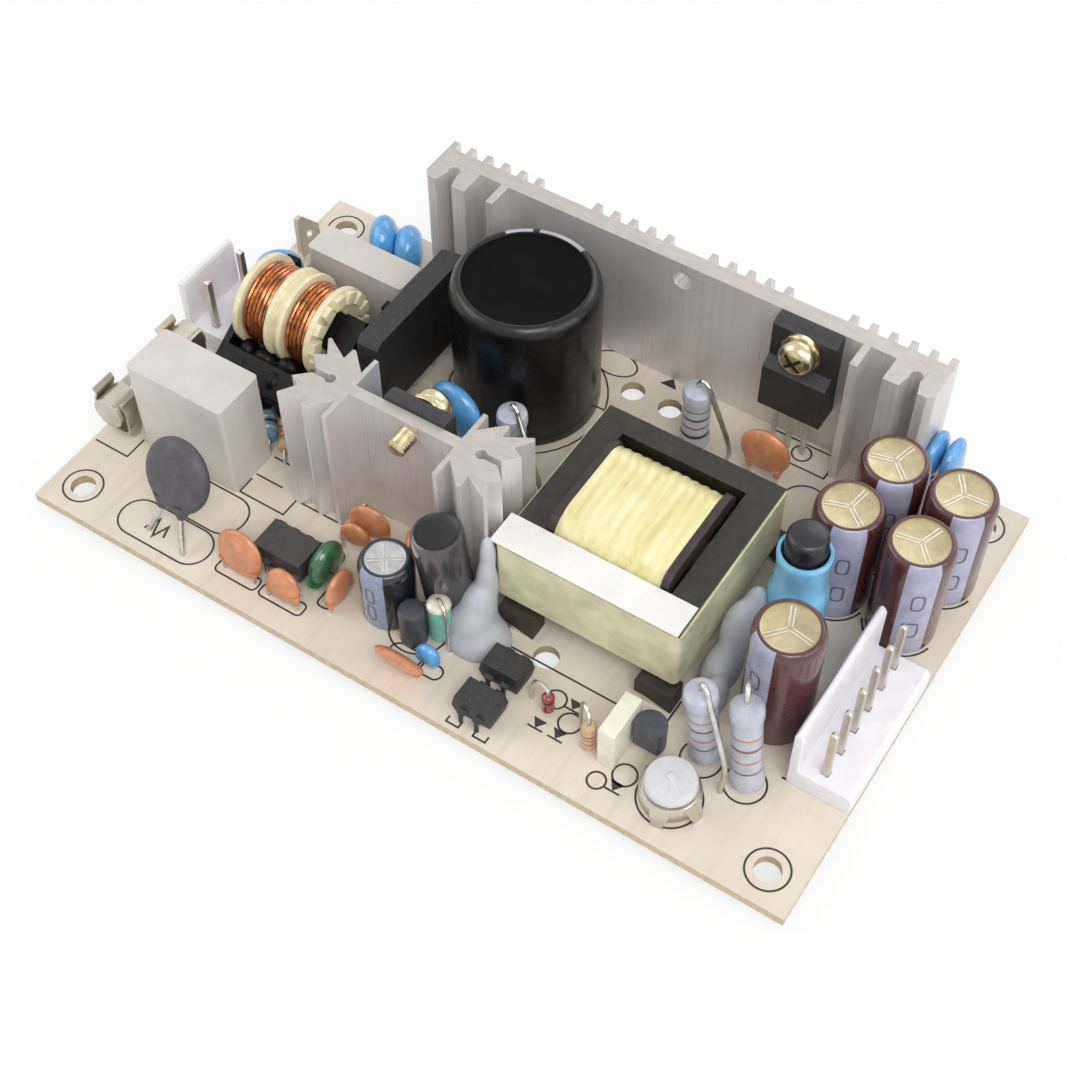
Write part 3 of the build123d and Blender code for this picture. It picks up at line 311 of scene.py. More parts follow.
small_sleeve = sleeve_finish("small_can_sleeve", (28, 30, 38), 0.22, 0.03, coat=(0.5, 0.1))
small_stripe = sleeve_finish("small_can_stripe", (140, 152, 176), 0.28, 0.03)
small_top = finish("small_can_top", (196, 196, 198), rough=0.32, metal=0.8, patch=1.5, depth=0.015)
charcoal = sleeve_finish("charcoal_sleeve", (64, 61, 65), 0.22, 0.03, coat=(0.6, 0.08))
charcoal_top = finish("charcoal_top", (20, 18, 19), rough=0.4, patch=1.5, spread=0.2, depth=0.03)
core_black = finish("core_black", (30, 31, 35), rough=0.3, patch=1.5, spread=0.2, grain=0.5, depth=0.02)
sky_sleeve = sleeve_finish("sky_sleeve", (132, 200, 238), 0.2, 0.04, coat=(0.5, 0.08))
resistor_paint = finish("resistor_paint", (184, 188, 200), rough=0.36, patch=1.5, spread=0.06, depth=0.02,
                        coat=(0.3, 0.2))
band_red = finish("band_red", (188, 116, 92), rough=0.35, patch=0.6, spread=0.12)
band_black = finish("band_black", (58, 50, 50), rough=0.35, patch=0.6, spread=0.12)
band_brown = finish("band_brown", (138, 98, 84), rough=0.35, patch=0.6, spread=0.12)
tan_paint = finish("tan_paint", (206, 178, 142), rough=0.4, patch=0.8, depth=0.02)
mint_paint = finish("mint_paint", (128, 196, 176), rough=0.35, patch=0.8, depth=0.02)
blue_paint = finish("blue_paint", (118, 156, 190), rough=0.35, patch=0.8, depth=0.02)
diode_glass = finish("diode_glass", (166, 70, 56), rough=0.12, patch=0.6, spread=0.25, grain=0.5,
                     Transmission_Weight=0.3, Coat_Weight=0.6)
diode_black = finish("diode_black", (36, 35, 37), rough=0.4, patch=0.8, spread=0.2, grain=0.25)
box_cream = finish("box_cream", (238, 234, 216), rough=0.4, patch=2.0, spread=0.03)
glue = finish("adhesive", (236, 238, 248), rough=0.2, patch=2.5, spread=0.03, grain=1.5, depth=0.02,
              Transmission_Weight=0.42, Subsurface_Weight=0.3, Subsurface_Scale=0.002, IOR=1.25)
trimmer_white = finish("trimmer_rotor_white", (218, 218, 221), rough=0.35, spread=0.02, depth=0.003)
slate_part = finish("slate_part", (72, 72, 84), rough=0.32, patch=1.0, spread=0.15, depth=0.02)
ic_grey = finish("ic_grey", (64, 59, 59), patch=1.5, spread=0.1, grain=0.16, dust=0.05)
grey_part = finish("grey_part", (70, 70, 78), rough=0.35, patch=1.0, spread=0.12, depth=0.02)


def ease_edges(thing, width, angle):
    """A small round on each edge that turns by more than an angle in degrees."""
    bevel = thing.modifiers.new("ease", "BEVEL")
    bevel.width = width * MM
    bevel.segments = 2
    bevel.limit_method = "ANGLE"
    bevel.angle_limit = radians(angle)


def dress(name, base, *rules, edge=0.12):
    """Materials for a CAD node's faces, by face centre (board millimetres) and direction, and eased edges."""
    node = nodes[name]
    mesh = node.data
    mesh.materials.clear()
    for paint in [base] + [rule[0] for rule in rules]:
        mesh.materials.append(paint)
    for face in mesh.polygons:
        centre = face.center / MM + Vector((BOARD[0] / 2, BOARD[1] / 2, -BOARD[2]))
        face.use_smooth = True
        face.material_index = 0
        for index, (_, wanted) in enumerate(rules, start=1):
            if wanted(centre, face.normal):
                face.material_index = index
    if edge:
        weld = node.modifiers.new("weld", "WELD")
        weld.merge_threshold = 1e-6
        ease_edges(node, edge, 38)
        level = node.modifiers.new("level", "WEIGHTED_NORMAL")
        level.weight = 100
        level.keep_sharp = True


# Mesh building
class Shape:
    """A mesh in the making, in board millimetres, each face marked with a material's number."""

    def __init__(self):
        self.points = []
        self.faces = []
        self.marks = []

    def grid(self, rows, mark=0, around=True):
        """Quads between rows of points; around joins each row's ends. mark may be a function of (i, j)."""
        start = len(self.points)
        width = len(rows[0])
        for row in rows:
            self.points.extend(Vector(p) for p in row)
        for i in range(len(rows) - 1):
            for j in range(width if around else width - 1):
                k = (j + 1) % width
                a, b = start + i * width + j, start + i * width + k
                self.faces.append((a, b, b + width, a + width))
                self.marks.append(mark(i, j) if callable(mark) else mark)

    def fan(self, loop, mark=0, flip=False):
        """One face over a loop of points."""
        start = len(self.points)
        self.points.extend(Vector(p) for p in loop)
        face = tuple(range(start, start + len(loop)))
        self.faces.append(face[::-1] if flip else face)
        self.marks.append(mark)

    def lathe(self, profile, foot, axis=(0, 0, 1), mark=0, segments=40, aside=None):
        """A surface turned about an axis; the profile's (radius, height) points start and end at radius 0."""
        up = Vector(axis).normalized()
        side = Vector(aside) if aside else (Vector((1, 0, 0)) if abs(up.x) < 0.9 else Vector((0, 1, 0)))
        side = (side - up * side.dot(up)).normalized()
        front = up.cross(side)
        rows = []
        for radius, height in profile:
            ring = []
            for j in range(segments):
                angle = 2 * pi * j / segments
                spoke = side * cos(angle) + front * sin(angle)
                ring.append(Vector(foot) + up * height + spoke * max(radius, 1e-4))
            rows.append(ring)
        self.grid(rows, mark)

    def tube(self, path, radius, mark=0, sides=10, capped=True):
        """A round wire along a path."""
        path = [Vector(p) for p in path]
        runs = [(b - a).normalized() for a, b in zip(path, path[1:])]
        side = runs[0].orthogonal().normalized()
        rows = []
        for i, point in enumerate(path):
            along = (runs[max(i - 1, 0)] + runs[min(i, len(runs) - 1)]).normalized()
            side = (side - along * side.dot(along)).normalized()
            front = along.cross(side)
            size = radius(i / (len(path) - 1)) if callable(radius) else radius
            rows.append([point + (side * cos(2 * pi * j / sides) + front * sin(2 * pi * j / sides)) * size
                         for j in range(sides)])
        self.grid(rows, mark)
        if capped:
            self.fan(rows[0], mark, flip=True)
            self.fan(rows[-1], mark)

    def piece(self, name, materials, stands_for=(), body="supply", smooth=38, ease=0.0):
        """The finished object, riding on a body."""
        mesh = bpy.data.meshes.new(name)
        mesh.from_pydata([world(p) for p in self.points], [], self.faces)
        for finish_of in materials:
            mesh.materials.append(finish_of)
        mesh.polygons.foreach_set("material_index", self.marks)
        made = put(name, mesh)
        mesh.update()
        mesh.shade_smooth()
        mesh.set_sharp_from_angle(angle=radians(smooth))
        if ease:
            ease_edges(made, ease, 35)
        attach(made, body)
        if stands_for:
            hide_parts(*stands_for)
        return made


def smooth_path(points, steps=6):
    """A soft curve through points."""
    points = [Vector(p) for p in points]
    ends = [points[0] * 2 - points[1]] + points + [points[-1] * 2 - points[-2]]
    path = []
    for a, b, c, d in zip(ends, ends[1:], ends[2:], ends[3:]):
        for i in range(steps):
            t = i / steps
            path.append(0.5 * (2 * b + (c - a) * t + (2 * a - 5 * b + 4 * c - d) * t * t
                               + (3 * b - a - 3 * c + d) * t ** 3))
    return path + [points[-1]]


def arc(x, y, radius, start, stop, steps=16):
    """Points on an arc, from one angle in degrees to another."""
    angles = [radians(start + (stop - start) * i / steps) for i in range(steps + 1)]
    return [(x + radius * cos(a), y + radius * sin(a)) for a in angles]


# Dipped discs
RESIN, WIRE = 0, 1


def dipped_disc(shape, first, second, radius, thickness, rise, lean=0.0, tall=1.0, legs=0.32, skirt=1.2,
                heading=None, grip=None):
    """A disc dipped in resin that runs down onto its two leads; lean and heading are in degrees."""
    first, second = Vector((*first, 0)), Vector((*second, 0))
    along = (second - first).normalized()
    if heading is not None:
        along = Vector((cos(radians(heading)), sin(radians(heading)), 0))
    back = Vector((-along.y, along.x, 0))
    up = back * sin(radians(lean)) + UP * cos(radians(lean))
    out = along.cross(up)
    centre = (first + second) / 2 + up * rise
    rings, around = 9, 40
    front, rear = [], []
    for i in range(rings + 1):
        share = sin(i / rings * pi / 2)
        swell = sqrt(max(0.0, 1 - share ** 2.6)) * thickness / 2
        ring = []
        for j in range(around):
            angle = 2 * pi * j / around
            reach = radius * share
            ring.append(centre + (along * cos(angle) * reach + up * sin(angle) * reach * tall))
        front.append([point - out * swell for point in ring])
        rear.append([point + out * swell for point in ring])
    shape.grid(front[::-1], RESIN)
    shape.grid(rear, RESIN)
    spread = grip or (second - first).length / 2
    for side, lead in ((-1, first), (1, second)):
        inside = max(radius ** 2 - spread ** 2, 0.3) ** 0.5
        top = centre + along * side * min(spread, radius * 0.75) - up * inside * 0.7
        knee = (top + lead) / 2
        if rise - inside > 2.0:
            knee = centre + along * side * spread - up * (inside + skirt)
        shape.tube(smooth_path([top, knee, lead + UP * 0.2, lead - UP * 0.4], 5), legs, WIRE, 8)
        drip = smooth_path([top, (top + knee) / 2, knee], 4)
        shape.tube(drip, lambda t: thickness * 0.42 * (1 - t) + (legs + 0.12) * t, RESIN, 12)


thermistor = Shape()
dipped_disc(thermistor, (18.9, 4.2), (25.9, 3.4), 5.9, 4.2, 11.6, 25.0, legs=0.45, skirt=0.9, heading=-4.0,
            grip=1.9)
thermistor.piece("thermistor_dipped", [slate, tin], ["thermistor"])

# Each disc: the places of its two leads, radius, thickness, the centre's height and lean
blue_discs = {
    "input": [
        ((14.5, 70.2), (17.0, 65.8), 4.1, 4.6, 5.4), ((19.3, 70.5), (21.8, 66.1), 4.1, 4.6, 5.4),
        ((4.4, 51.2), (7.8, 54.4), 4.0, 3.6, 6.2), ((46.6, 40.7), (52.5, 39.7), 4.9, 3.8, 11.0),
        ((66.2, 7.1), (68.2, 7.1), 1.9, 2.1, 2.5),
    ],
    "output": [
        ((112.6, 74.2), (112.6, 69.8), 3.9, 2.5, 9.2, -3.0),
        ((115.2, 74.2), (115.2, 69.8), 3.9, 2.5, 9.2, -3.0),
    ],
}
for group, discs in blue_discs.items():
    blue_group = Shape()
    for disc in discs:
        dipped_disc(blue_group, *disc)
    blue_group.piece(f"{group}_discs", [blue_resin, tin], [f"{group}_safety_capacitors"])

orange_discs = [
    ((32.6, 4.9), (38.0, 4.9), 4.0, 2.2, 4.4, 12.0),
    ((41.0, 4.5), (46.0, 4.5), 2.8, 2.0, 3.4, 12.0),
    ((50.4, 6.8), (50.4, 11.6), 2.9, 1.9, 3.2, 0.0),
    ((44.9, 17.2), (49.2, 17.9), 2.3, 1.7, 4.0, 0.0),
    ((45.8, 19.3), (50.7, 20.2), 3.3, 1.8, 5.4, 0.0),
    ((88.0, 61.0), (92.6, 61.0), 4.1, 2.4, 7.0, 0.0),
    ((62.2, 5.2), (67.2, 5.2), 3.8, 2.0, 3.8, -24.0),
    ((56.9, 17.5), (54.7, 21.3), 3.0, 1.8, 4.8, 0.0),
]
orange_group = Shape()
for disc in orange_discs:
    dipped_disc(orange_group, *disc)
orange_group.piece("orange_discs", [orange_resin, tin], ["ceramic_capacitors"])

green_disc = Shape()
dipped_disc(green_disc, (46.1, 8.6), (46.1, 13.6), 3.4, 3.4, 4.3, -8.0, tall=1.15)
green_disc.piece("green_film_dipped", [green_resin, tin], ["green_film_capacitor"])


# Output and control capacitors
def vent_arms(shape, x, y, z, reach, arms, turn, width, mark):
    """Bright grooves scored into a can's top."""
    for i in range(arms):
        angle = radians(turn) + 2 * pi * i / arms
        along = Vector((cos(angle), sin(angle), 0))
        across = Vector((-along.y, along.x, 0)) * width / 2
        for side in (-1, 1):
            start = Vector((x, y, z)) + along * width * 0.4 + across * side * 0.75
            end = Vector((x, y, z)) + along * reach + across * side
            edge = across * 0.3
            shape.fan([start - edge, end - edge, end + edge, start + edge], mark)


def frame_mark(shape, x, y, radius, middle, z, half_width, half_height, mark):
    """A small rounded outline printed on a can's stripe."""
    line = 0.28
    outer, inner = [], []
    for i in range(24):
        c, s = cos(2 * pi * i / 24), sin(2 * pi * i / 24)
        u, v = half_width * copysign(abs(c) ** 0.6, c), half_height * copysign(abs(s) ** 0.5, s)
        for ring, w, h in ((outer, u, v), (inner, u * (1 - line / half_width), v * (1 - line / half_height))):
            angle = radians(middle) + w / radius
            ring.append((x + radius * cos(angle), y + radius * sin(angle), z + h))
    shape.grid([outer, inner], mark)


def sleeved_can(name, node, spot, radius, height, stripe_turn, arms, arm_turn, materials, stripe=56):
    """A can in its shrunk sleeve, with a stripe down one side and a vent in its top; turns are in degrees."""
    can = Shape()
    segments, rim, deep = 72, 1.1, height - 0.3
    profile = [
        (0, 0), (radius - 0.4, 0), (radius - 0.1, 0.2), (radius, 0.7), (radius - 0.02, height * 0.5),
        (radius, height - 1.6), (radius - 0.12, height - 0.9), (radius - 0.35, height - 0.3),
        (radius - 0.6, height - 0.05), (radius - 0.85, height), (radius - rim, height - 0.05),
        (radius - rim - 0.02, deep), (radius - rim - 0.25, deep - 0.06), (0, deep - 0.02),
    ]

    def mark(i, j):
        """The material of a face: sleeve, stripe or top."""
        if i >= 10:
            return 2
        angle = (360 * (j + 0.5) / segments - stripe_turn + 180) % 360 - 180
        return 1 if abs(angle) < stripe / 2 and 1 <= i <= 7 else 0

    can.lathe(profile, (*spot, 0), mark=mark, segments=segments)
    vent_arms(can, *spot, deep + 0.01, radius - rim - 0.4, arms, arm_turn, 0.62, 3)
    for share in (0.3, 0.62):
        frame_mark(can, *spot, radius + 0.02, stripe_turn, height * share, 0.2 * radius, 1.7, 4)
    can.piece(name, materials, [node])


# Output cans: place, height, and the directions of the stripe and the vent
output_cans = [
    ((110.2, 59.4), 19.8, 295.0, 75.0), ((120.6, 59.0), 19.8, 303.0, 3.0), ((108.6, 48.9), 19.8, 295.0, 80.0),
    ((119.3, 48.6), 19.8, 303.0, 70.0), ((111.5, 25.9), 21.4, 248.0, 110.0),
]
output_can_radius = 5.0
output_paints = [can_sleeve, can_stripe, can_top, can_groove, can_mark]
for number, (spot, height, stripe_turn, vent_turn) in enumerate(output_cans, start=1):
    names = f"output_can_{number}", f"output_capacitor_{number}"
    sleeved_can(*names, spot, output_can_radius, height, stripe_turn, 3, vent_turn, output_paints)
sleeved_can("control_can", "control_capacitor", (57.2, 12.0), 4.0, 12.2, 268.0, 4, 35,
            [small_sleeve, small_stripe, small_top, can_groove, can_mark], stripe=60)

bulk = Shape()
bulk_spot, bulk_segments = (51.0, 57.0), 120
bulk_profile = [
    (0, 0), (10.9, 0), (11.3, 0.3), (11.4, 1.0), (11.37, 8.0), (11.4, 16.0), (11.4, 22.2), (11.32, 22.9),
    (11.2, 23.5), (10.95, 24.1), (10.6, 24.6), (10.2, 24.9), (9.85, 25.0), (9.6, 24.92), (9.5, 24.7),
    (9.4, 24.55), (9.2, 24.5), (4.0, 24.5), (0, 24.5),
]


def bulk_mark(i, j):
    """The stripe's pale arcs on the rim of the bulk capacitor."""
    if i >= 14:
        return 2
    angle = 360 * (j + 0.5) / bulk_segments
    return 1 if 7 <= i <= 12 and (118 < angle < 142 or 66 < angle < 110) else 0


bulk.lathe(bulk_profile, (*bulk_spot, 0), mark=bulk_mark, segments=bulk_segments)
bulk.piece("bulk_can", [bulk_sleeve, bulk_grey, bulk_top], ["bulk_capacitor"])


# Power resistors
def banded(profile, start, length, bands, body=0):
    """A mark for a turned part's bands, each a start and stop as shares of its length, and a paint."""
    def mark(i, j):
        """A band's paint where a face lies in it."""
        share = ((profile[i][1] + profile[i + 1][1]) / 2 - start) / length
        for low, high, paint in bands:
            if low <= share <= high:
                return paint
        return body

    return mark


def ringed_resistor(name, node, foot, loop_foot, lean, length, bands):
    """A painted resistor on end with its upper lead looped down to the board."""
    body = Shape()
    axis = Vector((*lean, length)).normalized()
    foot, loop_foot = Vector((*foot, 0)), Vector((*loop_foot, 0))
    low, high = 1.0, 1.0 + length
    r, waist, shoulder, steps, wire = 2.35, 2.1, 3.4, 52, 0.4
    profile = [(0, low - 0.25), (0.6, low - 0.2), (1.7, low), (2.2, low + 0.35), (r, low + 0.9),
               (r, low + 2.1), (waist + 0.08, low + 2.8)]
    profile += [(waist, low + shoulder + (length - 2 * shoulder) * i / steps) for i in range(steps)]
    profile += [(waist, high - shoulder), (waist + 0.08, high - 2.8), (r, high - 2.1), (r, high - 0.9),
                (2.2, high - 0.35), (1.7, high), (0.6, high + 0.2), (0, high + 0.25)]
    body.lathe(profile, foot, axis, banded(profile, low, length, bands), 40)
    top = foot + axis * (high + 0.1)
    out = (loop_foot - Vector((top.x, top.y, 0))).normalized()
    crown = foot + axis * (high + 1.9)
    path = [
        top - axis * 0.5, foot + axis * (high + 0.9), crown + out * 0.7, crown + out * 1.7 - UP * 0.3,
        crown + out * 2.5 - UP * 1.8, loop_foot + UP * ((high - shoulder) * 0.55), loop_foot + UP * 1.5,
        loop_foot - UP * 0.4,
    ]
    body.tube(smooth_path(path, 6), wire, 3, 10)
    body.tube([foot - UP * 0.4, foot + axis * low], wire, 3, 10)
    body.piece(name, [resistor_paint, band_red, band_brown, tin, band_black], [node])


front_bands = [(0.24, 0.262, 2), (0.37, 0.392, 1), (0.52, 0.55, 2), (0.66, 0.682, 1)]
rear_bands = [(0.24, 0.27, 4), (0.40, 0.43, 2), (0.55, 0.58, 4), (0.70, 0.74, 4)]
# Feet of the body and of its looped lead, lean of the top, length and bands
power_resistors = [
    ((107.0, 15.2), (111.2, 11.6), (-1.7, -0.4), 15.0, front_bands),
    ((113.9, 14.1), (109.6, 20.4), (-2.7, 2.2), 15.0, front_bands),
    ((78.2, 61.6), (84.5, 60.4), (0.0, 0.0), 12.0, rear_bands),
    ((57.6, 43.0), (65.2, 38.6), (0.0, 0.0), 12.0, rear_bands),
]
for number, build in enumerate(power_resistors, start=1):
    ringed_resistor(f"ringed_resistor_{number}", f"power_resistor_{number}", *build)


# Small axial parts
THIN_WIRE = 0.28


def axial_part(shape, first, second, radius, length, body=0, bulged=True, bands=()):
    """A small part lying on two bent leads."""
    first, second = Vector((*first, 0)), Vector((*second, 0))
    along = (second - first).normalized()
    lift = UP * radius
    middle = (first + second) / 2 + lift
    waist = radius * (0.82 if bulged else 1.0)
    cap, steps = length * 0.24, 14
    profile = [(0, 0), (radius * 0.6, 0.02), (radius * 0.92, 0.25), (radius, 0.5), (radius, cap)]
    profile += [(waist, cap + 0.3 + (length - 2 * cap - 0.6) * i / steps) for i in range(steps)]
    profile += [(waist, length - cap - 0.3), (radius, length - cap), (radius, length - 0.5),
                (radius * 0.92, length - 0.25), (radius * 0.6, length - 0.02), (0, length)]
    shape.lathe(profile, middle - along * length / 2, along, banded(profile, 0, length, bands, body), 20)
    for side, lead in ((-1, first), (1, second)):
        outward = along * side
        path = [middle + outward * (length / 2 - 0.2), lead + lift - outward * 0.5, lead + lift * 0.85,
                lead - UP * 0.4]
        shape.tube(smooth_path(path, 4), THIN_WIRE, WIRE, 8)


def upright_part(shape, foot, loop_foot, radius, length, body=0, bands=(), rise=1.6):
    """A small part on end, its upper lead looped down beside it."""
    foot, loop_foot = Vector((*foot, 0)), Vector((*loop_foot, 0))
    lift, steps = 0.6, 16
    profile = [(0, 0), (radius * 0.6, 0.05), (radius * 0.9, 0.3), (radius, 0.7)]
    profile += [(radius * 0.93, 1.2 + (length - 2.4) * i / steps) for i in range(steps + 1)]
    profile += [(radius, length - 0.7), (radius * 0.9, length - 0.3), (radius * 0.6, length - 0.05),
                (0, length)]
    shape.lathe(profile, foot + UP * lift, mark=banded(profile, 0, length, bands, body), segments=24)
    shape.tube([foot - UP * 0.4, foot + UP * (lift + 0.3)], THIN_WIRE, WIRE, 8)
    top = foot + UP * (lift + length)
    across = loop_foot - foot
    crown = top + UP * rise
    path = [top - UP * 0.3, top + UP * (rise * 0.6), crown + across * 0.35, crown + across * 0.8 - UP * 0.9,
            loop_foot + UP * (length * 0.5), loop_foot + UP, loop_foot - UP * 0.4]
    shape.tube(smooth_path(path, 5), THIN_WIRE, WIRE, 8)


diodes = Shape()
upright_part(diodes, (85.4, 9.6), (82.2, 10.4), 0.95, 3.8, bands=[(0.66, 0.78, 2)], rise=1.3)
axial_part(diodes, (24.6, 25.8), (19.6, 31.6), 1.3, 5.2, body=3, bulged=False,
           bands=[(0.24, 0.36, 4), (0.5, 0.6, 2), (0.68, 0.78, 4)])
diodes.piece("small_diodes_detailed", [diode_glass, tin, diode_black, blue_paint, can_groove],
             ["small_diodes"])

small_bands = [(0.3, 0.37, 2), (0.45, 0.52, 2), (0.6, 0.67, 3)]
resistors = Shape()
axial_part(resistors, (28.0, 25.0), (22.4, 33.0), 1.2, 6.2, bands=small_bands)
axial_part(resistors, (23.0, 22.6), (18.6, 27.6), 1.1, 4.6, bands=small_bands)
upright_part(resistors, (93.0, 7.8), (90.4, 9.9), 1.1, 5.6, bands=small_bands, rise=2.0)
upright_part(resistors, (65.9, 12.0), (68.4, 10.4), 1.8, 7.8, body=4, bands=[(0.93, 1.0, 5)], rise=1.0)
resistors.piece("small_resistors_detailed", [tan_paint, tin, band_red, band_brown, mint_paint, can_groove],
                ["small_resistors"])


# Inductors
dark = Shape()
dark.lathe([(0, 0), (3.6, 0), (3.7, 0.3), (3.68, 6.0), (3.7, 12.0), (3.7, 17.1), (3.55, 17.45), (3.2, 17.6),
            (2.9, 17.45), (2.6, 17.3), (0, 17.25)], (64.5, 17.0, 0), axis=(-1.35, -0.7, 17.6),
           mark=lambda i, j: 1 if i >= 7 else 0, segments=48)
dark.piece("dark_inductor_sleeve", [charcoal, charcoal_top], ["dark_inductor"])

sleeved_spot = (106.95, 39.1)
core = Shape()
core.lathe([(0, 0.6), (2.8, 0.6), (2.95, 0.8), (2.95, 22.0), (2.85, 22.6), (2.6, 23.0), (2.2, 23.2),
            (0, 23.2)], (*sleeved_spot, 0), segments=40)
core.piece("sleeved_core", [core_black], ["sleeved_inductor_core"])

sleeve_profile = [
    (3.25, 0.2), (4.3, 0.2), (4.4, 0.5), (4.38, 5.0), (4.3, 8.2), (4.4, 9.6), (4.32, 10.8), (4.0, 11.8),
    (3.72, 12.8), (3.66, 15.0), (3.7, 17.4), (3.86, 18.6), (3.84, 19.3), (3.6, 19.6), (3.3, 19.5),
    (3.25, 18.6),
]
sleeve_rows = []
for step, (radius, z) in enumerate(sleeve_profile):
    ring = []
    for j in range(72):
        angle = 2 * pi * j / 72
        crease = 0.0
        if 2 <= step <= 5:
            crease = 0.07 * sin(9 * angle + 0.4)
        elif 8 <= step <= 10:
            crease = 0.06 * sin(14 * angle)
        reach = radius - abs(crease)
        ring.append((sleeved_spot[0] + reach * cos(angle), sleeved_spot[1] + reach * sin(angle), z))
    sleeve_rows.append(ring)
sleeve = Shape()
sleeve.grid(sleeve_rows)
sleeve.piece("blue_sleeve_creased", [sky_sleeve], ["sleeved_inductor_sleeve"])

small = Shape()
small.lathe([(0, 0), (1.8, 0), (2.0, 0.3), (2.0, 6.6), (1.8, 7.05), (1.4, 7.2), (0, 7.15)], (62.9, 9.7, 0),
            segments=32)
small.piece("small_inductor_turned", [grey_part], ["small_inductor"])


# Choke windings, along the drum's axis from its left end
drum_left, drum_y, drum_z = 10.8, 43.4, 10.6
enamelled_radius, turn_steps = 0.34, 36
for number, (start, stop) in enumerate(((1.0, 6.0), (9.1, 13.5)), start=1):
    winding = Shape()
    reach = stop - start - 2 * enamelled_radius
    steps = int(reach / (1.86 * enamelled_radius)) * turn_steps
    for layer, radius in enumerate((6.6 - enamelled_radius, 6.6 - 2.6 * enamelled_radius, 5.0)):
        path = []
        for i in range(steps + 1):
            angle = 2 * pi * i / turn_steps + layer
            x = drum_left + start + enamelled_radius + reach * i / steps
            path.append((x, drum_y + radius * cos(angle), drum_z + radius * sin(angle)))
        winding.tube(path, enamelled_radius, 0, 8)
    winding.piece(f"choke_turns_{number}", [copper], [f"choke_winding_{number}"])


# Transformer winding, wrapped in creased tape
def wrap_finish():
    """Pale yellow tape drawn round a coil, creased and a little scorched."""
    paint = Paint("winding_tape")
    creases = paint.noise(2.2, 3.0, 0.6, (1.0, 0.16, 1.0))
    tone = paint.ramp(creases, [(0.28, (218, 206, 136)), (0.5, (236, 227, 168)), (0.72, (244, 238, 194))])
    stains = paint.between(paint.noise(7.0, 3.0), 0.0, 0.4, 0.55, 0.8)
    paint.link(paint.mix(stains, tone, linear((214, 184, 118))), "Base Color")
    paint.link(paint.between(creases, 0.22, 0.42), "Roughness")
    paint.bump((creases, 0.16), (paint.noise(0.7, 3.0), 0.03))
    paint.set(coat=(0.4, 0.12))
    return paint.material


coil_x, coil_y, coil_z = 84.2, 35.05, 9.9
coil_length, coil_across, coil_tall, coil_corner = 16.8, 19.8, 16.6, 5.0
columns = 40
rows = []
for i in range(columns + 1):
    x = coil_x + coil_length * (i / columns - 0.5)
    crown = 0.12 * sin(pi * i / columns) - 0.12
    row = []
    for out, up, begin in ((1, 1, 0), (-1, 1, 90), (-1, -1, 180), (1, -1, 270)):
        for step in range(11):
            angle = radians(begin + 9 * step)
            ripple = 0.10 * sin(i * 1.7 + 3 * sin(angle * 2)) - 0.10
            r = coil_corner + crown + ripple
            row.append((x, coil_y + out * (coil_across / 2 - coil_corner) + r * cos(angle),
                        coil_z + up * (coil_tall / 2 - coil_corner) + r * sin(angle)))
    rows.append(row)
coil = Shape()
coil.grid(rows)
coil.fan(rows[0], flip=True)
coil.fan(rows[-1])
coil.piece("transformer_wrap", [wrap_finish()], ["transformer_winding"], smooth=60)


# Screws that hold the packages to their heatsinks
def pan_screw(name, node, x, z, seat, ahead, length):
    """A washer and a rounded cross head on a seat facing along y, with the thread behind them."""
    screw = Shape()
    pitch = 0.5
    profile = [(0, -length), (1.2, -length)]
    for i in range(int(length / pitch)):
        profile += [(1.5, -length + pitch * i + 0.2), (1.28, -length + pitch * i + 0.45)]
    profile += [(1.4, 0), (3.05, 0), (3.1, 0.1), (3.1, 0.7), (3.0, 0.8), (2.6, 0.82), (2.72, 1.0), (2.8, 1.4),
                (2.78, 2.0), (2.6, 2.6), (2.2, 3.05), (1.5, 3.32), (0.8, 3.4), (0, 3.42)]
    foot, axis = Vector((x, seat, z)), Vector((0, ahead, 0))
    screw.lathe(profile, foot, axis, segments=40, aside=(1, 0, 0))
    for i in range(4):
        angle = radians(45 + 90 * i)
        along = Vector((cos(angle), 0, sin(angle)))
        across = along.cross(axis) * 0.27
        row = [foot + axis * h + along * r for r, h in ((0.0, 3.46), (0.8, 3.44), (1.35, 3.38), (1.75, 3.26))]
        screw.grid([[point - across, point + across] for point in row], 1, around=False)
    screw.piece(name, [zinc, charcoal_top], [node])


pan_screw("rear_pan_screw", "rear_heatsink_screw", 90.4, 21.6, 68.9, -1, 6.5)
pan_screw("front_pan_screw", "front_heatsink_screw", 52.4, 22.0, 29.7, 1, 7.6)


# Fuse clips: a bent strip round each end of the fuse, on two pointed legs
def ribbon(shape, path, low, high, thick, mark=0):
    """A strip of sheet bent along a path of (x, z), between two places along y."""
    path = [Vector(p) for p in path]
    rows = []
    for i, point in enumerate(path):
        along = (path[min(i + 1, len(path) - 1)] - path[max(i - 1, 0)]).normalized()
        out = Vector((-along.y, along.x)) * thick / 2
        a, b = point + out, point - out
        rows.append([(a.x, low, a.y), (a.x, high, a.y), (b.x, high, b.y), (b.x, low, b.y)])
    shape.grid(rows, mark)
    shape.fan(rows[0], mark)
    shape.fan(rows[-1], mark, flip=True)


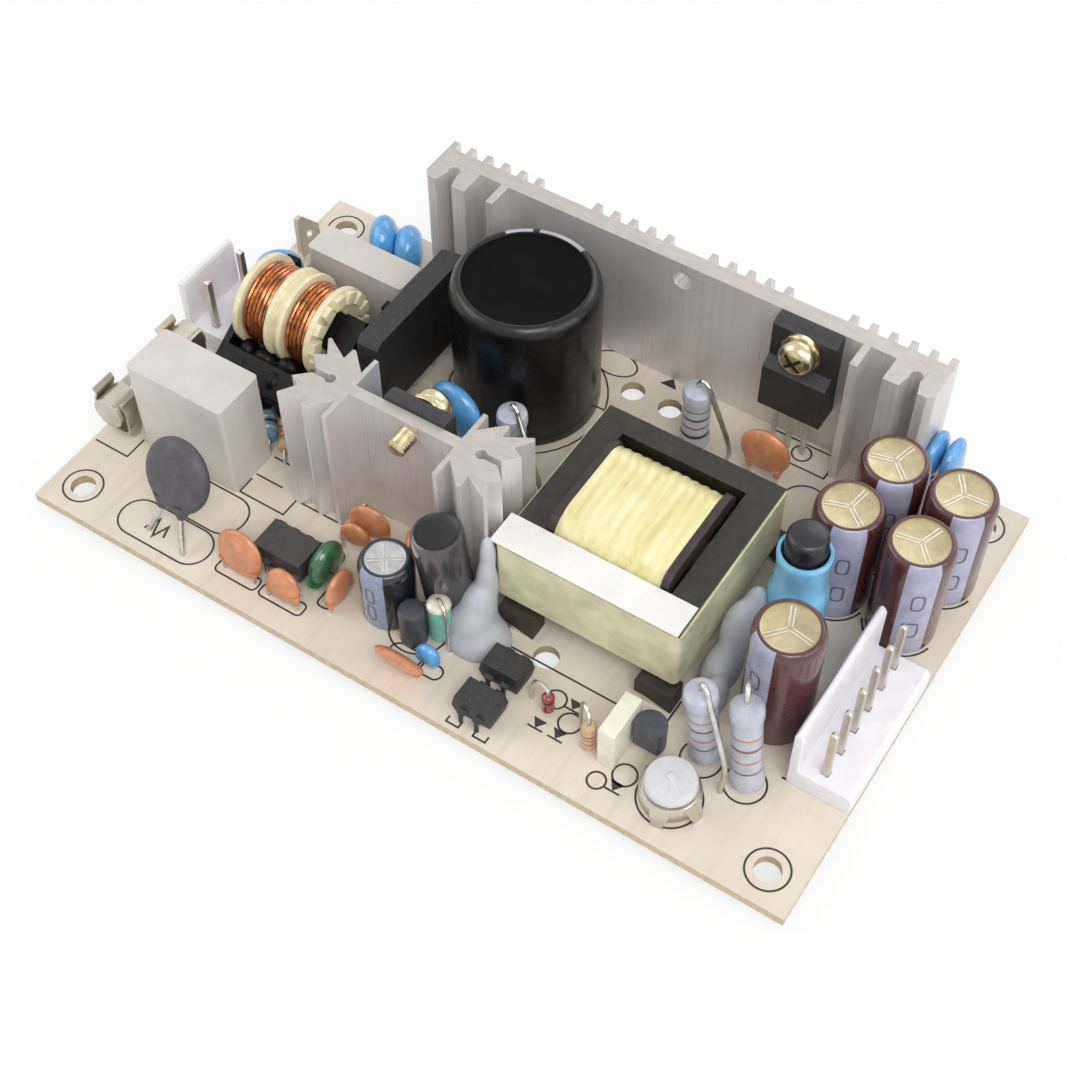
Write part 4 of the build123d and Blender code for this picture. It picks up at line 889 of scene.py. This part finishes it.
clips = Shape()
fuse_x, clip_width = 3.4, 4.0
clip_bend = [(1.7, 2.3), (2.5, 2.6), (2.95, 3.6), (3.05, 6.2), (2.9, 7.4), (2.45, 8.5), (2.5, 8.9),
             (3.0, 9.5)]
for low in (15.2, 29.6):
    path = [(fuse_x - x, z) for x, z in clip_bend[::-1]] + [(fuse_x + x, z) for x, z in clip_bend]
    ribbon(clips, path, low, low + clip_width, 0.34)
    y = low + clip_width / 2
    for leg in (fuse_x - 1.9, fuse_x + 1.9):
        left, right = leg - 0.18, leg + 0.18
        clips.grid([[(left, y - w, z), (right, y - w, z), (right, y + w, z), (left, y + w, z)]
                    for z, w in ((2.4, 1.5), (1.2, 1.2), (-0.4, 0.4))])
clips.piece("bent_fuse_clips", [plate_tin], ["fuse_clips"], smooth=30)


# Adhesive: soft lumps that run up what they hold
def lump(name, node, balls, paint=glue, cell=0.28, soft=22):
    """Overlapping balls, each a place and three radii, melted into one mass that ends at the board."""
    rough = Shape()
    for x, y, z, rx, ry, rz in balls:
        rows = []
        for i in range(17):
            tilt = pi * i / 16
            wide = max(sin(tilt), 1e-3)
            rows.append([(x + rx * wide * cos(2 * pi * j / 32), y + ry * wide * sin(2 * pi * j / 32),
                          z - rz * cos(tilt)) for j in range(32)])
        rough.grid(rows)
    made = rough.piece(name, [paint], [node] if node else [], smooth=180)
    remesh = made.modifiers.new("melt", "REMESH")
    remesh.mode = "VOXEL"
    remesh.voxel_size = cell * MM
    soften = made.modifiers.new("soften", "SMOOTH")
    soften.iterations = soft
    soften.factor = 0.6
    bpy.context.view_layer.update()
    melted = bpy.data.meshes.new_from_object(made.evaluated_get(bpy.context.evaluated_depsgraph_get()))
    made.modifiers.clear()
    made.data = melted
    for point in melted.vertices:
        point.co.z = max(point.co.z, BOARD[2] * MM)
    melted.shade_smooth()


lump("heatsink_glue", "heatsink_adhesive", [
    (70.2, 14.6, 0.6, 5.4, 4.4, 2.9), (69.0, 14.9, 1.8, 3.8, 3.4, 4.0), (68.8, 17.0, 3.0, 3.0, 3.0, 5.0),
    (69.2, 19.0, 6.5, 1.7, 1.8, 6.2), (69.1, 19.6, 12.5, 1.2, 1.3, 4.6),
])
lump("transformer_glue", "transformer_adhesive", [
    (102.2, 27.6, 2.0, 2.7, 4.6, 4.0), (101.8, 32.4, 4.6, 2.3, 3.6, 6.2), (102.6, 35.6, 7.0, 1.8, 2.0, 4.6),
    (103.6, 22.8, 2.0, 2.0, 3.0, 4.0),
])


# Choke core, potted in black compound along its front leg; the black lumps behind that leg, under the drum,
# are the drum's painted shadow
ring_up = Vector((0, -0.51, 0.86)).normalized()
ring_bars = [
    ((28.6, 30.9, 3.2), (28.6, 46.1, 12.2), 1.9, 3.0), ((10.2, 31.4, 3.5), (10.2, 43.6, 10.7), 0.6, 2.6),
    ((10.2, 43.4, 10.6), (30.0, 43.4, 10.6), 2.8, 2.8), ((9.8, 33.6, 4.8), (30.2, 33.6, 4.8), 2.6, 2.6),
]
ring_core = Shape()
for start, end, half_width, half_height in ring_bars:
    start, end, up = Vector(start), Vector(end), ring_up * half_height
    side = (end - start).normalized().cross(ring_up) * half_width
    rows = [[p + side + up, p - side + up, p - side - up, p + side - up] for p in (start, end)]
    ring_core.grid(rows)
    ring_core.fan(rows[0])
    ring_core.fan(rows[1], flip=True)
ring_core.piece("choke_ring", [base_black], ["choke_core"], ease=0.25)
# Black lumps: potting on the front leg, and behind it, under the drum, a dark mass that paints the drum's
# shadow
lump("choke_potting_and_painted_shadow", None, [
    (10.6, 34.6, 2.6, 1.9, 2.4, 3.0), (12.4, 33.2, 2.0, 2.4, 2.0, 2.6), (14.6, 33.6, 4.6, 2.2, 2.6, 3.2),
    (17.8, 32.6, 2.6, 2.6, 2.2, 3.0), (20.6, 33.4, 4.8, 2.0, 2.6, 3.2), (23.6, 32.6, 3.0, 2.8, 2.3, 3.6),
    (12.6, 36.6, 5.2, 1.8, 2.0, 2.4), (16.6, 36.0, 6.0, 2.2, 1.8, 2.2), (21.0, 36.2, 6.6, 2.2, 1.6, 2.0),
    (26.4, 33.4, 3.6, 2.2, 2.2, 3.4), (9.9, 36.8, 1.6, 1.2, 1.6, 1.9), (15.2, 31.6, 1.0, 1.2, 1.0, 1.4),
], base_black, 0.24, 9)


# Trimmer
trimmer_spot = Vector((105.9, 7.4, 0))
rotor = Shape()
rotor.lathe([(0, 1.98), (1.5, 1.98), (1.5, 3.2), (3.45, 3.2), (3.65, 3.5), (3.62, 4.3), (3.4, 4.75),
             (2.9, 4.9), (1.3, 5.0), (0.75, 5.1), (0.6, 5.5), (0.3, 5.62), (0, 5.64)],
            trimmer_spot, segments=56)
for i in range(8):
    angle = 2 * pi * i / 8 + 0.3
    along = Vector((cos(angle), sin(angle), 0))
    across = Vector((-along.y, along.x, 0)) * 0.11
    low, rise = trimmer_spot + UP * 4.93, UP * 0.09
    rotor.grid([[p - across, p - across + rise, p + across + rise, p + across]
                for p in (low + along * 1.2, low + along * 2.8)])
rotor.piece("trimmer_dial", [trimmer_white], ["trimmer_rotor"], body="trimmer")
dish = Shape()
dish.lathe([(0, 0.2), (4.0, 0.2), (4.2, 0.5), (4.3, 2.0), (4.2, 2.5), (3.8, 2.9), (1.8, 3.0), (1.75, 2.4),
            (1.75, 1.9), (0, 1.9)], trimmer_spot, segments=48)
for direction, reach in ((-14, 5.1), (-80, 5.0), (150, 4.7)):
    along = Vector((cos(radians(direction)), sin(radians(direction)), 0))
    across = Vector((-along.y, along.x, 0))
    tongue = ((3.2, 1.5, 2.7), (4.3, 1.4, 2.5), (reach, 0.9, 0.9), (reach + 0.1, 0.6, -0.3))
    rows = [[trimmer_spot + along * u + across * v * side + UP * z for u, v, z in tongue] for side in (-1, 1)]
    dish.grid(rows, around=False)
    dish.grid([[p + UP * 0.22 - along * 0.15 for p in row][::-1] for row in rows], around=False)
dish.piece("trimmer_plates", [plate_tin], ["trimmer_body"])


# Carried-over CAD nodes
def lower(limit):
    """Faces under a height."""
    return lambda c, n: c.z < limit


dress("circuit_board", board_edge, (board_top, lambda c, n: n.z > 0.8),
      (board_under, lambda c, n: n.z < -0.8), edge=0)
dress("fuse", plate_tin, (glass, lambda c, n: 19.1 < c.y < 29.7 and abs(n.y) < 0.5), edge=0.1)
for side in ("rear", "front"):
    dress(f"{side}_heatsink", aluminium, (sawn, lambda c, n: n.z > 0.8 and c.z > 20), edge=0.08)
for side in ("input", "output"):
    dress(f"{side}_header_housing", nylon, edge=0.15)
    dress(f"{side}_header_pins", plate_tin, edge=0.1)

# Nodes of one material, with the round on their edges
plain_nodes = {
    "solder_joints": (solder, 0), "transformer_core_left": (ferrite, 0.25),
    "transformer_core_right": (ferrite, 0.25), "transformer_tape": (wrap_yellow, 0),
    "transformer_label": (label_white, 0), "choke_bobbin": (cream, 0.1), "choke_base": (base_black, 0.15),
    "front_film_capacitor": (film_grey, 0.35), "rear_film_capacitor": (film_grey, 0.3),
    "earth_tab": (plate_tin, 0), "box_capacitor": (box_cream, 0.2),
}
for name, (base, edge) in plain_nodes.items():
    dress(name, base, edge=edge)

# Nodes whose leads are tinned up to a height
leaded_nodes = {
    "output_rectifier": (moulding, 8.9, 0.1), "switching_transistor": (moulding, 9.3, 0.1),
    "transformer_bobbin": (phenolic, 1.15, 0.12), "bridge_rectifier": (bridge_black, 3.35, 0.15),
    "optocoupler_1": (moulding, 0.65, 0.08), "optocoupler_2": (moulding, 0.65, 0.08),
    "control_ic": (ic_grey, 0.85, 0.08), "small_transistors": (slate_part, 2.1, 0.12),
}
for name, (base, height, edge) in leaded_nodes.items():
    dress(name, base, (tin, lower(height)), edge=edge)


# The board's printed outlines, in thin ink on its top face
INK_HEIGHT, INK_WIDTH = 0.02, 0.3
ink_print = Shape()


def ink_line(points, closed=False, width=INK_WIDTH):
    """An inked line through points."""
    path = [Vector(p) for p in points]
    count = len(path)
    left, right = [], []
    for i in range(count):
        before = path[i] - path[i - 1] if i or closed else path[1] - path[0]
        after = path[(i + 1) % count] - path[i] if i < count - 1 or closed else path[i] - path[i - 1]
        before, after = before.normalized(), after.normalized()
        middle = (before + after).normalized() if (before + after).length > 0.01 else after
        side = Vector((-middle.y, middle.x)) * (width / 2 / max(0.35, middle.dot(after)))
        left.append((*(path[i] + side), INK_HEIGHT))
        right.append((*(path[i] - side), INK_HEIGHT))
    if closed:
        left.append(left[0])
        right.append(right[0])
    ink_print.grid([right, left], around=False)


def ink_oval(x, y, radius, depth=None, steps=40):
    """An inked circle, or an oval of another depth."""
    turns = [2 * pi * i / steps for i in range(steps)]
    ink_line([(x + radius * cos(a), y + (depth or radius) * sin(a)) for a in turns], closed=True)


def ink_patch(points):
    """A filled shape."""
    ink_print.fan([(x, y, INK_HEIGHT) for x, y in points])


for x in (MOUNT_INSET, BOARD[0] - MOUNT_INSET):
    for y in (MOUNT_INSET, BOARD[1] - MOUNT_INSET):
        ink_oval(x, y, 3.05)
for x0, y0, x1, y1, radius in (
        (13.0, 1.8, 29.3, 8.4, 3.2), (14.0, 8.8, 30.0, 16.0, 3.4), (31.4, 3.6, 38.8, 5.9, 0.8),
        (39.4, 3.6, 47.0, 5.9, 0.8), (47.6, 6.8, 49.9, 12.0, 0.8), (66.0, 5.3, 69.8, 7.6, 1.1),
        (61.0, 5.0, 66.5, 8.0, 1.4)):
    corners = ((x1 - radius, y1 - radius, 0), (x0 + radius, y1 - radius, 90), (x0 + radius, y0 + radius, 180),
               (x1 - radius, y0 + radius, 270))
    outline = [point for x, y, turn in corners for point in arc(x, y, radius, turn, turn + 90, 8)]
    ink_line(outline, closed=True)
for points in (
        [(25.6, 17.0), (33.8, 17.0), (33.8, 20.2), (43.6, 20.2)], [(43.2, 20.2), (43.2, 25.3), (48.0, 25.3)],
        [(25.6, 17.0), (25.6, 20.0)], [(25.6, 21.0), (30.6, 21.0)], [(25.8, 25.1), (29.0, 25.1)],
        [(0.6, 13.0), (6.9, 13.0), (6.9, 17.0)], [(73.0, 15.8), (99.8, 15.8), (99.8, 21.0)],
        [(117.0, 18.0), (126.4, 18.0)], [(118.0, 18.0), (118.0, 22.0)],
        [(60.0, 61.2), (60.0, 60.2), (63.0, 60.2)],
        [(87.4, 71.0), (98.0, 71.0), (98.0, 66.4), (90.4, 66.4)], [(87.4, 71.0), (87.4, 67.6)]):
    ink_line(points)
for x in (75.4, 79.8):
    ink_line([(x - 1.0, 1.9), (x - 1.0, 0.9), (x + 1.0, 0.9), (x + 1.0, 1.9)])
ink_line([(18.0, 4.0), (19.0, 6.4), (20.0, 3.4), (21.0, 6.0), (21.6, 4.0)], width=0.35)
for x, y, radius in (
        (85.2, 11.9, 1.5), (88.8, 9.7, 1.6), (99.3, 6.9, 1.7), (96.5, 4.2, 1.3), (113.4, 14.4, 2.95),
        (62.6, 11.4, 4.4), (*bulk_spot, 12.6), (92.9, 69.0, 1.5), (106.6, 14.6, 2.9), (106.0, 7.2, 4.5)):
    ink_oval(x, y, radius)
ink_oval(59.5, 69.5, 3.7, 2.4, 30)
for x, y in ((85.2, 7.4), (88.4, 7.4), (99.1, 4.8), (87.9, 12.5)):
    ink_patch([(x - 1.1, y + 0.7), (x + 1.1, y + 0.7), (x, y - 0.8)])
    ink_line([(x - 1.2, y - 0.9), (x + 1.2, y - 0.9)])
ink_patch([(67.4, 69.8), (70.4, 69.8), (68.9, 71.6)])
ink_line(arc(97.8, 60.4, 3.6, 40, 170, 14))
for (x, y), *_ in output_cans[:4]:
    ink_line(arc(x, y, output_can_radius + 0.3, 200, 345, 18))
ink_print.piece("board_print", [ink])


# Floor, lights and world
floor_mesh = bpy.data.meshes.new("floor")
floor_reach, floor_z = 3.0, -2.2 * MM
corners = [(x * floor_reach, y * floor_reach, floor_z) for x, y in ((-1, -1), (1, -1), (1, 1), (-1, 1))]
floor_mesh.from_pydata(corners, [], [(0, 1, 2, 3)])
floor = put("floor", floor_mesh)
paper = Paint("floor_paper")
paper.link(paper.ramp(paper.noise(40.0), [(0.3, (247, 247, 247)), (0.7, (251, 251, 251))]), "Base Color")
paper.set(Roughness=0.9)
glow = paper.add("ShaderNodeEmission", {"Color": (1, 1, 1, 1), "Strength": 1.0}).outputs[0]
rays = paper.add("ShaderNodeLightPath").outputs
seen = paper.math("MAXIMUM", rays["Is Camera Ray"], rays["Is Transmission Ray"])
share = paper.math("MULTIPLY", seen, 0.72)
blend = paper.add("ShaderNodeMixShader", {0: share, 1: paper.shader.outputs[0], 2: glow}).outputs[0]
paper.tree.links.new(blend, paper.tree.nodes["Material Output"].inputs["Surface"])
floor_mesh.materials.append(paper.material)


def lamp(name, place, target, width, height, power):
    """A large soft lamp aimed at a place on the object."""
    data = bpy.data.lights.new(name, "AREA")
    data.shape = "RECTANGLE"
    data.size, data.size_y = width, height
    data.energy = power
    made = put(name, data)
    made.location = place
    made.rotation_mode = "QUATERNION"
    made.rotation_quaternion = (Vector(target) - Vector(place)).to_track_quat("-Z", "Y")


# Places, targets and sizes in metres, power in watts
lamp("key", (0.35, -0.35, 0.65), (0.0, 0.0, 0.0), 0.45, 0.45, 3.4)
lamp("fill", (-0.6, -0.25, 0.5), (0.0, 0.0, 0.0), 0.6, 0.5, 2.0)
lamp("back", (0.1, 0.7, 0.55), (0.0, 0.0, 0.02), 0.7, 0.4, 1.6)
lamp("side", (0.7, 0.0, 0.36), (0.0, 0.0, 0.01), 0.5, 0.4, 1.5)

studio = bpy.data.worlds.new("studio")
bpy.context.scene.world = studio
studio.use_nodes = True
tree = studio.node_tree
rays = add_node(tree, "ShaderNodeLightPath").outputs
seen = rays["Is Camera Ray"]
for kind in ("Is Glossy Ray", "Is Transmission Ray"):
    seen = add_node(tree, "ShaderNodeMath", {0: seen, 1: rays[kind]}, operation="MAXIMUM").outputs[0]
strength = add_node(tree, "ShaderNodeMapRange", {"Value": seen, "To Min": 0.34, "To Max": 1.0})
background = tree.nodes["Background"]
background.inputs["Color"].default_value = (1, 1, 1, 1)
tree.links.new(strength.outputs["Result"], background.inputs["Strength"])
